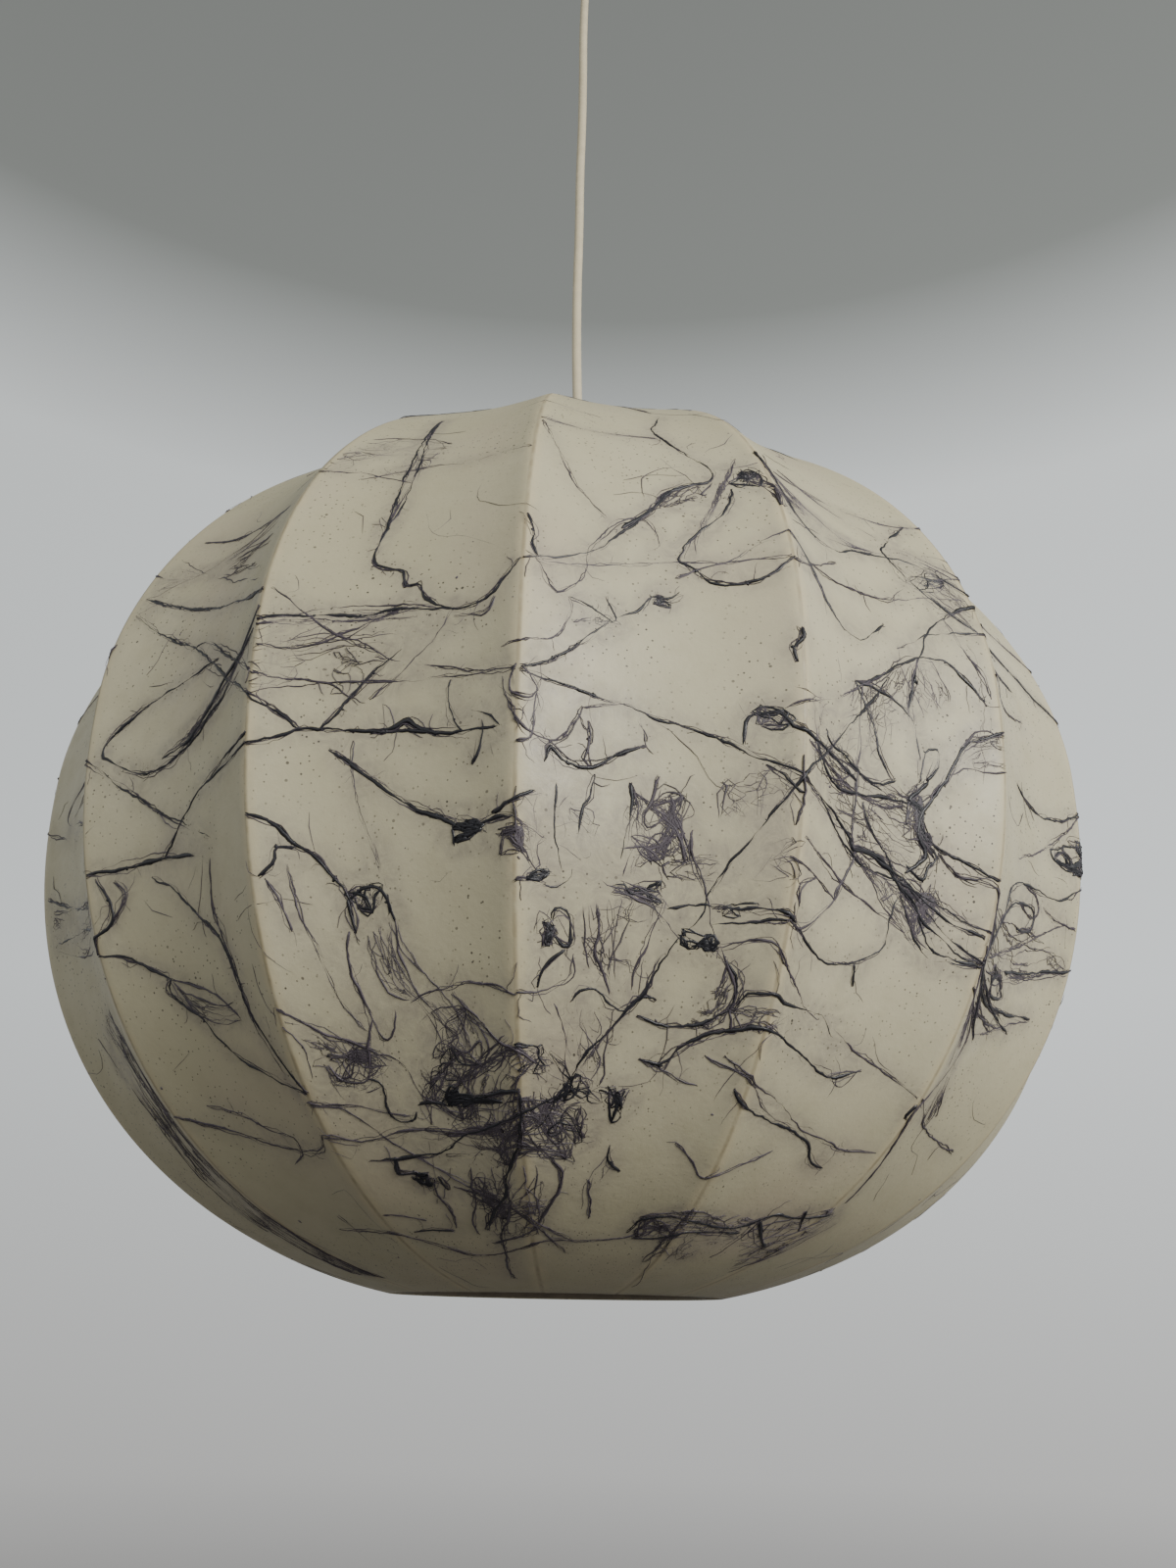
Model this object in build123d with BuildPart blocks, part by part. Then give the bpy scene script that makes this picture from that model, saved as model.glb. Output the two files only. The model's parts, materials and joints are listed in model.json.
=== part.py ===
"""Pendant lamp with a sprayed, see-through shade.

Sixteen bent steel ribs run from a small top ring to a wider bottom ring, and one thin film of
sprayed resin is pulled tight over them, so that it sinks inwards between each pair of ribs.
A lampholder hangs in the top ring on a three-armed spider, clamped by a threaded ring from below.
The lamp hangs by its cord from a ceiling cup.

Frame: millimetres, +Z up, origin in the middle of the ceiling bar's top face, which lies on the
ceiling. Everything else is below it. The front is towards -Y.
"""

import os
from math import atan2, cos, hypot, pi, radians, sin, tan

from build123d import *

# Shade: the film's outer face along a rib is a superellipse, one for each half.
shade_radius = 250.0
shade_drop = 221.0  # the lower half's semi-axis
shade_rise = 228.0  # the upper half's semi-axis
lower_power = 2.31
upper_power = 1.82
bottom_edge_radius = 75.0
top_edge_radius = 50.0
film_thickness = 0.8
film_pull = 0.052  # how far the film sinks in halfway between two ribs, as a share of the radius
film_sections = 15

# Wire cage
rib_count = 16
rib_pitch = 360.0 / rib_count
rib_wire_radius = 1.5
ring_wire_radius = 2.0
wire_inset = 2.9  # from the film's outer face to the middle of a wire
weld_gap = 0.15

# Heights
bottom_edge_z = -1065.0
cup_depth = 52.0
pivot_z = -65.0  # the point in the cord grip's mouth about which the lamp swings

# Cord
cord_radius = 3.0
core_radius = 1.1
running_gap = 0.05

# Ceiling fitting
bar_length = 93.0
bar_width = 16.0
bar_thickness = 1.5
bar_lug_depth = 14.0
bar_screw_spacing = 64.0
bar_screw_radius = 2.25
cup_radius = 50.0
cup_wall = 1.5
cup_top_gap = 0.5
m10_radius = 5.0
swing_seat_radius = 6.3
bush_radius = 6.0

# Lampholder, for an E27 bulb
skirt_radius = 20.0
skirt_length = 30.0
skirt_wall = 2.5
shell_radius = 14.6
shade_ring_radius = 28.5
shade_ring_height = 9.0
washer_thickness = 1.2
spider_thickness = 1.5
arm_count = 3
arm_width = 9.0

# Bulb
bulb_cap_radius = 13.2
bulb_radius = 30.0
bulb_glass_wall = 1.0

os.makedirs("parts", exist_ok=True)


def save(shape, name):
    """Writes one node."""
    shape.label = name
    export_step(shape, f"parts/{name}.step")


# ---------------------------------------------------------------- the shade's outline


def height_share(radius_share, power):
    """The superellipse's height, as a share of its semi-axis, at a share of its radius."""
    return (1 - radius_share**power) ** (1 / power)


bottom_share = bottom_edge_radius / shade_radius
top_share = top_edge_radius / shade_radius
equator_z = bottom_edge_z + shade_drop * height_share(bottom_share, lower_power)
bottom_angle = -atan2(height_share(bottom_share, lower_power), bottom_share)
top_angle = atan2(height_share(top_share, upper_power), top_share)


def meridian(angle, inset=0.0):
    """(radius, z) of the film's outer face on a rib, moved inwards by inset along its normal."""
    c, s = cos(angle), sin(angle)
    semi_axis, power = (shade_rise, upper_power) if s > 0 else (shade_drop, lower_power)
    scale = (c**power + abs(s) ** power) ** (-1 / power)
    across, up = scale * c, scale * abs(s)
    normal_r = across ** (power - 1) / shade_radius
    normal_z = up ** (power - 1) / semi_axis
    length = hypot(normal_r, normal_z)
    side = 1 if s > 0 else -1
    radius = shade_radius * across - inset * normal_r / length
    z = equator_z + side * (semi_axis * up - inset * normal_z / length)
    return radius, z


def pull(angle):
    """The film is held round by the rings, and sinks in most halfway between them."""
    along = (angle - bottom_angle) / (top_angle - bottom_angle)
    return film_pull * max(0.0, 1 - abs(2 * along - 1) ** 3)


def angle_off_ring(ring_angle, direction):
    """The angle at which a rib's end stands just clear of a ring's wire."""
    step = radians(0.5) * direction
    r0, z0 = meridian(ring_angle, wire_inset)
    r1, z1 = meridian(ring_angle + step, wire_inset)
    return ring_angle + step * (ring_wire_radius + weld_gap) / hypot(r1 - r0, z1 - z0)


def at(radius, azimuth):
    """A point of a horizontal plane, from its radius and its azimuth in degrees."""
    return radius * cos(radians(azimuth)), radius * sin(radians(azimuth))


# ---------------------------------------------------------------- the film

overrun = radians(2.5)  # the lofts run past both edges, which are then trimmed
section_angles = [
    bottom_angle - overrun + (top_angle - bottom_angle + 2 * overrun) * i / (film_sections - 1)
    for i in range(film_sections)
]

with BuildPart() as shade_skin:
    for inset, mode in ((0.0, Mode.ADD), (film_thickness, Mode.SUBTRACT)):
        for angle in section_angles:
            radius, z = meridian(angle, inset)
            # A panel's curve passes through its middle when its control point is this far out.
            control = radius * (2 * (1 - pull(angle)) - cos(radians(rib_pitch / 2)))
            with BuildSketch(Plane.XY.offset(z)):
                with BuildLine():
                    for k in range(rib_count):
                        azimuth = k * rib_pitch
                        Bezier(
                            at(radius, azimuth),
                            at(control, azimuth + rib_pitch / 2),
                            at(radius, azimuth + rib_pitch),
                        )
                make_face()
        loft(mode=mode)
    # Both edges are trimmed round, at the rings.
    with BuildSketch(Plane.XY.offset(equator_z)):
        Circle(bottom_edge_radius)
    extrude(amount=-shade_drop - 20, mode=Mode.SUBTRACT)
    with BuildSketch(Plane.XY.offset(equator_z)):
        Circle(top_edge_radius)
    extrude(amount=shade_rise + 20, mode=Mode.SUBTRACT)
save(shade_skin.part, "shade_skin")

# ---------------------------------------------------------------- the wire cage

rib_start = angle_off_ring(bottom_angle, 1)
rib_end = angle_off_ring(top_angle, -1)
rib_points = 13
rib_line = [
    meridian(rib_start + (rib_end - rib_start) * i / (rib_points - 1), wire_inset)
    for i in range(rib_points)
]

with BuildPart() as rib:
    with BuildLine(Plane.XZ) as rib_path:
        Spline(*rib_line)
    with BuildSketch(Plane(origin=rib_path.line @ 0, z_dir=rib_path.line % 0)):
        Circle(rib_wire_radius)
    sweep()
for k in range(rib_count):
    save(rib.part.rotate(Axis.Z, k * rib_pitch), f"rib_{k + 1:02d}")

for name, angle in (("bottom_ring", bottom_angle), ("top_ring", top_angle)):
    ring_radius, ring_z = meridian(angle, wire_inset)
    with BuildPart() as ring:
        with BuildSketch(Plane.XZ):
            with Locations((ring_radius, ring_z)):
                Circle(ring_wire_radius)
        revolve(axis=Axis.Z)
    save(ring.part, name)

top_ring_radius, top_ring_z = meridian(top_angle, wire_inset)
spider_z = top_ring_z + ring_wire_radius + running_gap  # the spider's underside
shoulder_z = spider_z + spider_thickness

with BuildPart() as gallery_spider:
    with BuildSketch(Plane.XY.offset(spider_z)):
        Circle(shade_ring_radius - 1)
        with PolarLocations((shade_ring_radius + top_ring_radius) / 2, arm_count, 90):
            Rectangle(top_ring_radius - shade_ring_radius + 4, arm_width)
        Circle(top_edge_radius - 0.4, mode=Mode.INTERSECT)
        Circle(skirt_radius + 0.3, mode=Mode.SUBTRACT)
    extrude(amount=spider_thickness)
save(gallery_spider.part, "gallery_spider")

# ---------------------------------------------------------------- the lampholder


def turned(outline):
    """A solid turned about Z from an outline of (radius, z) points."""
    with BuildPart() as turned_part:
        with BuildSketch(Plane.XZ):
            with BuildLine():
                Polyline(*outline, close=True)
            make_face()
        revolve(axis=Axis.Z)
    return turned_part.part


thread_pitch = 2.5
thread_depth = 0.6
skirt_bottom = shoulder_z - skirt_length
flange_z = shoulder_z + running_gap
flange_top = flange_z + 3
body_top = flange_top + 9
thread_grooves = int((skirt_length - 4) / thread_pitch)

with BuildPart() as holder_body:
    with BuildSketch(Plane.XZ):
        with BuildLine():
            Polyline(
                (skirt_radius - skirt_wall, skirt_bottom),
                (skirt_radius, skirt_bottom),
                (skirt_radius, flange_z),
                (skirt_radius + 3, flange_z),
                (skirt_radius + 3, flange_top),
                (skirt_radius + 1, flange_top),
                (skirt_radius + 1, body_top),
                (skirt_radius - 1.5, body_top),
                (skirt_radius - 1.5, flange_top),
                (skirt_radius - skirt_wall, flange_top),
                close=True,
            )
        make_face()
        # Grooves round the skirt stand for its thread.
        for i in range(thread_grooves):
            groove_z = skirt_bottom + 1.5 + (i + 0.5) * thread_pitch
            with Locations((skirt_radius, groove_z)):
                RegularPolygon(thread_depth, 3, rotation=180, mode=Mode.SUBTRACT)
    revolve(axis=Axis.Z)
save(holder_body.part, "holder_body")

cap_height = 27.0
cap_top = body_top + cap_height
cap_outline_radius = skirt_radius + 2.5
with BuildPart() as holder_cap:
    with BuildSketch(Plane.XZ):
        with BuildLine():
            l1 = Line((cap_outline_radius, body_top + 0.05), (cap_outline_radius, body_top + 9))
            l2 = Bezier(
                l1 @ 1,
                (cap_outline_radius, body_top + 19),
                (m10_radius + 9, cap_top),
                (m10_radius + 4, cap_top),
            )
            l3 = Line(l2 @ 1, (m10_radius + 0.1, cap_top))
            l4 = Line(l3 @ 1, (m10_radius + 0.1, cap_top - 2.5))
            l5 = Line(l4 @ 1, (m10_radius + 3, cap_top - 2.5))
            l6 = Bezier(
                l5 @ 1,
                (m10_radius + 8, cap_top - 2.5),
                (cap_outline_radius - 2, body_top + 18),
                (cap_outline_radius - 2, body_top + 9),
            )
            l7 = Line(l6 @ 1, (cap_outline_radius - 2, body_top + 0.05))
            Line(l7 @ 1, l1 @ 0)
        make_face()
    revolve(axis=Axis.Z)
save(holder_cap.part, "holder_cap")

holder_grip_z = cap_top + 0.05
holder_grip_height = 12.0
holder_grip_radius = 8.5
grip_screw_radius = 1.6
cord_bore_radius = cord_radius + running_gap

with BuildPart() as holder_grip:
    with BuildSketch(Plane.XY.offset(holder_grip_z)):
        Circle(holder_grip_radius)
    extrude(amount=holder_grip_height)
    chamfer(holder_grip.edges().group_by(Axis.Z)[-1], 1.5)
    with BuildSketch(Plane.XY.offset(holder_grip_z)):
        Circle(m10_radius)
    extrude(amount=-8)
    with Locations((0, 0, holder_grip_z)):
        Hole(cord_bore_radius)
    with BuildSketch(Plane.XZ.offset(-cord_radius)):
        with Locations((0, holder_grip_z + holder_grip_height / 2)):
            Circle(grip_screw_radius + running_gap)
    extrude(amount=-20, mode=Mode.SUBTRACT)
save(holder_grip.part, "holder_cord_grip")


def grip_screw(z, head_radius):
    """A slotted nylon screw that presses on the cord from +Y, at height z."""
    tip_y = cord_radius + 0.1
    with BuildPart() as screw:
        with BuildSketch(Plane.XZ.offset(-tip_y)):
            with Locations((0, z)):
                Circle(grip_screw_radius)
        extrude(amount=-(head_radius + 2 - tip_y))
        with BuildSketch(Plane.XZ.offset(-(head_radius + 2))):
            with Locations((0, z)):
                Rectangle(0.7, 4)
        extrude(amount=0.9, mode=Mode.SUBTRACT)
    return screw.part


save(grip_screw(holder_grip_z + holder_grip_height / 2, holder_grip_radius), "holder_grip_screw")

core_top = flange_top + 6
core_bottom = shoulder_z + 0.5
inner_radius = skirt_radius - skirt_wall - 0.2
with BuildPart() as holder_core:
    with BuildSketch(Plane.XY.offset(core_bottom)):
        Circle(inner_radius)
    extrude(amount=core_top - core_bottom)
    fillet(holder_core.edges().group_by(Axis.Z)[-1], 1.2)
    with GridLocations(18, 0, 2, 1):
        with Locations((0, 0, core_top)):
            Hole(core_radius + 0.2)
save(holder_core.part, "holder_core")

shell_wall = 0.7
shell_length = 24.0
shell_rings = 6
with BuildPart() as screw_shell:
    with BuildSketch(Plane.XZ):
        with Locations((shell_radius - shell_wall / 2, core_bottom - shell_length / 2 - 0.05)):
            Rectangle(shell_wall, shell_length)
        for i in range(shell_rings):
            with Locations((shell_radius, core_bottom - 3 - i * 3.6)):
                Rectangle(0.9, 1.6)
    revolve(axis=Axis.Z)
save(screw_shell.part, "screw_shell")

with BuildPart() as centre_contact:
    with BuildSketch(Plane.XY.offset(core_bottom - 0.05)):
        Rectangle(16, 5)
    extrude(amount=-0.8)
    with BuildSketch(Plane.XY.offset(core_bottom - 0.85)):
        Circle(3.5)
    extrude(amount=-1.0)
save(centre_contact.part, "centre_contact")

with BuildPart() as holder_screws:
    with GridLocations(18, 0, 2, 1):
        with Locations((0, 6, core_top + 0.05)):
            Cylinder(2.0, 1.6, align=(Align.CENTER, Align.CENTER, Align.MIN))
        with Locations((0, 6, core_top + 1.65)):
            Box(4.2, 0.7, 0.6, align=(Align.CENTER, Align.CENTER, Align.MAX), mode=Mode.SUBTRACT)
save(holder_screws.part, "holder_terminal_screws")

# ---------------------------------------------------------------- the ring that clamps the shade

washer_top = spider_z - running_gap
with BuildPart() as gallery_washer:
    with BuildSketch(Plane.XY.offset(washer_top)):
        Circle(shade_ring_radius - 1.5)
        Circle(skirt_radius + 0.3, mode=Mode.SUBTRACT)
    extrude(amount=-washer_thickness)
save(gallery_washer.part, "gallery_washer")

ring_top = washer_top - washer_thickness - running_gap
finger_count = 12
with BuildPart() as shade_ring:
    with BuildSketch(Plane.XY.offset(ring_top)):
        Circle(shade_ring_radius)
    extrude(amount=-2)
    with BuildSketch(Plane.XY.offset(ring_top - 2)):
        Circle(shade_ring_radius - 3)
        with PolarLocations(shade_ring_radius - 3, finger_count):
            Circle(1.6)
    extrude(amount=-(shade_ring_height - 2))
    with BuildSketch(Plane.XY.offset(ring_top)):
        Circle(skirt_radius + 0.2)
    extrude(amount=-shade_ring_height, mode=Mode.SUBTRACT)
save(shade_ring.part, "shade_ring")

# ---------------------------------------------------------------- the bulb

contact_z = core_bottom - 2.1  # the bulb's centre contact, just under the holder's
cap_z = contact_z - 2.2
bulb_cap_length = 22.0
glass_top = cap_z - bulb_cap_length
bulb_centre_z = glass_top - 49
neck_radius = bulb_cap_radius - 1.2

with BuildPart() as bulb_cap:
    with BuildSketch(Plane.XZ):
        with Locations((bulb_cap_radius - 0.75, cap_z - bulb_cap_length / 2)):
            Rectangle(0.5, bulb_cap_length)
        with Locations((bulb_cap_radius / 2 + 1.5, cap_z - 0.25)):
            Rectangle(bulb_cap_radius - 4, 0.5)
        for i in range(5):
            with Locations((bulb_cap_radius - 0.4, cap_z - 3 - i * 3.6)):
                Rectangle(0.8, 1.6)
    revolve(axis=Axis.Z)
save(bulb_cap.part, "bulb_cap")

with BuildPart() as bulb_insulator:
    with BuildSketch(Plane.XY.offset(cap_z + 0.02)):
        Circle(5.5)
    extrude(amount=1.4, taper=25)
save(bulb_insulator.part, "bulb_insulator")

with BuildPart() as bulb_contact:
    with BuildSketch(Plane.XY.offset(cap_z + 1.45)):
        Circle(3.6)
    extrude(amount=0.7, taper=30)
save(bulb_contact.part, "bulb_contact")


def bulb_outline(inset):
    """The glass from its neck to its lowest point, moved inwards by inset."""
    with BuildLine() as outline:
        start = (neck_radius - inset, glass_top + 3)
        tangent_point = PolarLine(
            (0, bulb_centre_z), bulb_radius - inset, 38, mode=Mode.PRIVATE
        )
        join = tangent_point @ 1
        Bezier(start, (neck_radius - inset, glass_top - 12), join + Vector(-7, 9), join)
        ThreePointArc(
            join,
            (
                (bulb_radius - inset) * cos(radians(-26)),
                bulb_centre_z + (bulb_radius - inset) * sin(radians(-26)),
            ),
            (0, bulb_centre_z - bulb_radius + inset),
        )
        Polyline(
            (0, bulb_centre_z - bulb_radius + inset), (0, glass_top + 3), start
        )
    return outline.line


with BuildPart() as bulb_glass:
    for inset, mode in ((0.0, Mode.ADD), (bulb_glass_wall, Mode.SUBTRACT)):
        with BuildSketch(Plane.XZ):
            make_face(bulb_outline(inset).edges())
        revolve(axis=Axis.Z, mode=mode)
save(bulb_glass.part, "bulb_glass")

# ---------------------------------------------------------------- the ceiling fitting

with BuildPart() as ceiling_bar:
    with BuildSketch(Plane.XY):
        Rectangle(bar_length, bar_width)
        with GridLocations(bar_screw_spacing, 0, 2, 1):
            Circle(bar_screw_radius, mode=Mode.SUBTRACT)
    extrude(amount=-bar_thickness)
    for side in (-1, 1):
        with Locations((side * (bar_length - bar_thickness) / 2, 0, 0)):
            Box(
                bar_thickness,
                bar_width,
                bar_lug_depth,
                align=(Align.CENTER, Align.CENTER, Align.MAX),
            )
    with BuildSketch(Plane.YZ.offset(-bar_length / 2)):
        with Locations((0, -9)):
            Circle(1.5)
    extrude(amount=bar_length, mode=Mode.SUBTRACT)
save(ceiling_bar.part, "ceiling_bar")

cup_bottom_radius = 12.0
cup_wall_height = 26.0
with BuildPart() as ceiling_cup:
    with BuildSketch(Plane.XZ):
        with BuildLine():
            c1 = Line((cup_radius, -cup_top_gap), (cup_radius, -cup_wall_height))
            c2 = Bezier(
                c1 @ 1,
                (cup_radius, -cup_depth + 6),
                (cup_radius - 12, -cup_depth),
                (cup_bottom_radius, -cup_depth),
            )
            c3 = Line(c2 @ 1, (m10_radius + 0.1, -cup_depth))
            c4 = Line(c3 @ 1, (m10_radius + 0.1, -cup_depth + cup_wall))
            c5 = Line(c4 @ 1, (cup_bottom_radius, -cup_depth + cup_wall))
            c6 = Bezier(
                c5 @ 1,
                (cup_radius - 12.5, -cup_depth + cup_wall),
                (cup_radius - cup_wall, -cup_depth + 7),
                (cup_radius - cup_wall, -cup_wall_height),
            )
            c7 = Line(c6 @ 1, (cup_radius - cup_wall, -cup_top_gap))
            Line(c7 @ 1, c1 @ 0)
        make_face()
    revolve(axis=Axis.Z)
    with BuildSketch(Plane.YZ.offset(-cup_radius - 1)):
        with Locations((0, -9)):
            Circle(1.9)
    extrude(amount=2 * cup_radius + 2, mode=Mode.SUBTRACT)
save(ceiling_cup.part, "ceiling_cup")

with BuildPart() as cup_screws:
    for side in (-1, 1):
        with BuildSketch(Plane.YZ.offset(side * (bar_length / 2 - 3))):
            with Locations((0, -9)):
                Circle(1.45)
        extrude(amount=side * (cup_radius - bar_length / 2 + 3.05))
        with BuildSketch(Plane.YZ.offset(side * (cup_radius + 0.05))):
            with Locations((0, -9)):
                Circle(3.0)
        extrude(amount=side * 1.8)
        with BuildSketch(Plane.YZ.offset(side * (cup_radius + 1.85))):
            with Locations((0, -9)):
                Rectangle(6.4, 0.8)
        extrude(amount=-side * 0.8, mode=Mode.SUBTRACT)
save(cup_screws.part, "cup_screws")

grip_radius = 9.0
grip_top = -cup_depth - 0.05
grip_bottom = pivot_z - 3.0
with BuildPart() as cord_grip:
    with BuildSketch(Plane.XY.offset(grip_top)):
        Circle(grip_radius)
    extrude(amount=grip_bottom - grip_top)
    fillet(cord_grip.edges().group_by(Axis.Z)[0], 1.5)
    with BuildSketch(Plane.XY.offset(grip_top)):
        Circle(m10_radius)
    extrude(amount=10)
    with Locations((0, 0, grip_top)):
        Hole(cord_radius + 0.3)
    with Locations((0, 0, pivot_z)):
        Sphere(swing_seat_radius, mode=Mode.SUBTRACT)
save(cord_grip.part, "cord_grip")

nut_flats = 14.0
with BuildPart() as grip_nut:
    with BuildSketch(Plane.XY.offset(-cup_depth + cup_wall + 0.05)):
        RegularPolygon(nut_flats / 2, 6, major_radius=False)
        Circle(m10_radius + 0.1, mode=Mode.SUBTRACT)
    extrude(amount=3)
save(grip_nut.part, "grip_nut")

bush_half_height = 2.6
with BuildPart() as outlet_bush:
    with Locations((0, 0, pivot_z)):
        Sphere(bush_radius)
    with BuildSketch(Plane.XY.offset(pivot_z - bush_half_height)):
        Circle(bush_radius + 1)
    extrude(amount=2 * bush_half_height, mode=Mode.INTERSECT)
    # The bore opens towards both ends, so that the cord can lean in it.
    for side in (-1, 1):
        with BuildSketch(Plane.XY.offset(pivot_z)):
            Circle(cord_radius + 0.4)
        extrude(amount=side * bush_half_height, taper=-24, mode=Mode.SUBTRACT)
save(outlet_bush.part, "outlet_bush")

block_x = 15.0
block_z = -bar_thickness - 0.2
with BuildPart() as terminal_block:
    for y in (-3.6, 3.6):
        with Locations((block_x, y, block_z)):
            Box(22, 6.4, 12, align=(Align.CENTER, Align.CENTER, Align.MAX))
    with Locations((block_x, 0, block_z)):
        Box(8, 2, 12, align=(Align.CENTER, Align.CENTER, Align.MAX))
    for y in (-3.6, 3.6):
        for x in (block_x - 6.5, block_x + 6.5):
            with Locations((x, y, block_z - 12)):
                Cylinder(
                    2.2, 3, align=(Align.CENTER, Align.CENTER, Align.MIN), mode=Mode.SUBTRACT
                )
save(terminal_block.part, "terminal_block")

with BuildPart() as terminal_screws:
    for y in (-3.6, 3.6):
        for x in (block_x - 6.5, block_x + 6.5):
            with Locations((x, y, block_z - 11.5)):
                Cylinder(1.8, 2.3, align=(Align.CENTER, Align.CENTER, Align.MIN))
            with Locations((x, y, block_z - 11.5)):
                Box(
                    4, 0.6, 0.7, align=(Align.CENTER, Align.CENTER, Align.MIN), mode=Mode.SUBTRACT
                )
save(terminal_screws.part, "terminal_screws")

# ---------------------------------------------------------------- the cord


def tube(points, radius):
    """A round tube along straight runs joined by the largest tangent arcs they allow."""
    radii = []
    for before, corner, after in zip(points, points[1:], points[2:]):
        run_in = Vector(*corner) - Vector(*before)
        run_out = Vector(*after) - Vector(*corner)
        half_turn = radians(run_in.get_angle(run_out)) / 2
        radii.append(0.45 * min(run_in.length, run_out.length) / tan(half_turn))
    with BuildPart() as made:
        with BuildLine() as path:
            FilletPolyline(*points, radius=radii)
        with BuildSketch(Plane(origin=path.line @ 0, z_dir=path.line % 0)):
            Circle(radius)
        sweep()
    length = path.wire().length
    share = made.part.volume / (length * pi * radius**2)
    print(
        f"tube radius {radius}: length {length:.1f}, volume over section times length {share:.4f},"
        f" tightest bend radius {min(radii):.1f}"
    )
    return made.part


# The cord hangs under the lamp's weight, with the slight waves that it kept from its coil.
cord_end_z = holder_grip_z - 4
cord_line = tube(
    [
        (0.0, 0.0, pivot_z),
        (-1.6, 0.3, -97.0),
        (-3.0, -0.3, -139.0),
        (-3.4, 0.4, -185.0),
        (-2.6, -0.4, -234.0),
        (-2.4, 0.4, -285.0),
        (-3.0, -0.4, -338.0),
        (-2.5, 0.4, -392.0),
        (-2.9, -0.4, -446.0),
        (-2.3, 0.3, -498.0),
        (-0.9, -0.2, -540.0),
        (0.0, 0.0, holder_grip_z + holder_grip_height + 4),
        (0.0, 0.0, cord_end_z),
    ],
    cord_radius,
)
with BuildPart() as supply_cord:
    add(cord_line)
    # The top end is rounded about the point on which the lamp swings.
    with Locations((0, 0, pivot_z)):
        Sphere(cord_radius)
save(supply_cord.part, "supply_cord")

tail_top_z = -cup_depth + 20.0
tail_bottom_z = pivot_z + swing_seat_radius + 0.4
with BuildPart() as cord_tail:
    with BuildSketch(Plane.XY.offset(tail_bottom_z)):
        Circle(cord_radius)
    extrude(amount=tail_top_z - tail_bottom_z)
save(cord_tail.part, "cord_tail")

terminal_entry = (block_x - 11.1, block_z - 6.0)
for name, side in (("core_brown", 1), ("core_blue", -1)):
    end_x, end_z = terminal_entry
    save(
        tube(
            [
                (0, side * 1.4, tail_top_z + 0.05),
                (0, side * 1.6, tail_top_z + 6),
                (-5, side * 2.6, tail_top_z + 12),
                (-6, side * 3.4, tail_top_z + 18),
                (-1, side * 3.7, end_z),
                (end_x, side * 3.6, end_z + 0.2),
            ],
            core_radius,
        ),
        name,
    )

for name, side in (("holder_core_brown", 1), ("holder_core_blue", -1)):
    save(
        tube(
            [
                (side * 1.4, 0, cord_end_z - 0.05),
                (side * 1.7, 0.3, cord_end_z - 7),
                (side * 6.0, 0.4, cord_end_z - 14),
                (side * 9.0, 0.0, cord_end_z - 21),
                (side * 9.0, 0.0, core_top - 2),
            ],
            core_radius,
        ),
        name,
    )
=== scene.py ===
"""Looks for the hanging lamp with a sprayed, see-through skin over a wire cage.

Everything is in metres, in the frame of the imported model: the origin is on the ceiling, +Z is up
and the front is towards -Y.

A place on the skin is a pair (a, t). a counts ribs from the front one, to the right, so that whole
numbers are ribs and the panels lie between them. t runs along a rib from the bottom edge, 0, to
the top edge, 1.
"""

import json
import random
from math import atan2, cos, hypot, pi, radians, sin

import bpy
from mathutils import Matrix, Vector, kdtree, noise

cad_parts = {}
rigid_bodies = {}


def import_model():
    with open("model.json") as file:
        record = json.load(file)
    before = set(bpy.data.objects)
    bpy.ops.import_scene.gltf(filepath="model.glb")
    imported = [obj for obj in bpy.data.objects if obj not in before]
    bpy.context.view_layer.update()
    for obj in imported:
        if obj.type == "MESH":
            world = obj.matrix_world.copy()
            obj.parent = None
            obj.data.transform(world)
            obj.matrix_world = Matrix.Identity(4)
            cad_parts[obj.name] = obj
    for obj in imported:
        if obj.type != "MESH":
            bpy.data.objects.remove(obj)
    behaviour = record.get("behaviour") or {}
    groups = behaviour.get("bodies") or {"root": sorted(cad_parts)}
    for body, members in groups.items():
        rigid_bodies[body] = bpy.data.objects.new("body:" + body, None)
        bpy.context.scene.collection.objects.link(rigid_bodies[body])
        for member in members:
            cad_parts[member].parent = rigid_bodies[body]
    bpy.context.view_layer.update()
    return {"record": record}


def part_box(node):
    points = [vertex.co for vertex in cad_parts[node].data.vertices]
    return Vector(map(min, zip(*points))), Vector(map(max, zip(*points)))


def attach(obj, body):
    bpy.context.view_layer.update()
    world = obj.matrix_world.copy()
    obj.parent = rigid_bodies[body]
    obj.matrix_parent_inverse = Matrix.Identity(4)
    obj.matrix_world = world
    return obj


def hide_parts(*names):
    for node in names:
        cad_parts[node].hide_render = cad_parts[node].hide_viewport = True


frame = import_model()

MM = 0.001

# ---------------------------------------------------------------- the shade's shape

skin_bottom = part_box("shade_skin")[0][2]
RADIUS = 0.250  # of the ribs at the equator
DROP = 0.221  # the semi-axis along Z of the curve below the equator
RISE = 0.228  # and of the one above it
LOWER_POWER = 2.31  # how square each curve is: 2 is an ellipse
UPPER_POWER = 1.82
BOTTOM_EDGE = 0.075  # the edges' radii
TOP_EDGE = 0.050
PULL = 0.052  # how far a panel sinks in, as a share of the radius
RIBS = 16
PITCH = 2 * pi / RIBS
ARC = 0.66  # the length of a rib, edge to edge, as t runs from 0 to 1
PANEL = 0.098  # the greatest distance between two ribs


def height_share(radius_share, power):
    return (1 - radius_share**power) ** (1 / power)


bottom_share = BOTTOM_EDGE / RADIUS
top_share = TOP_EDGE / RADIUS
EQUATOR_Z = skin_bottom + DROP * height_share(bottom_share, LOWER_POWER)
BOTTOM_ANGLE = -atan2(height_share(bottom_share, LOWER_POWER), bottom_share)
TOP_ANGLE = atan2(height_share(top_share, UPPER_POWER), top_share)


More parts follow.
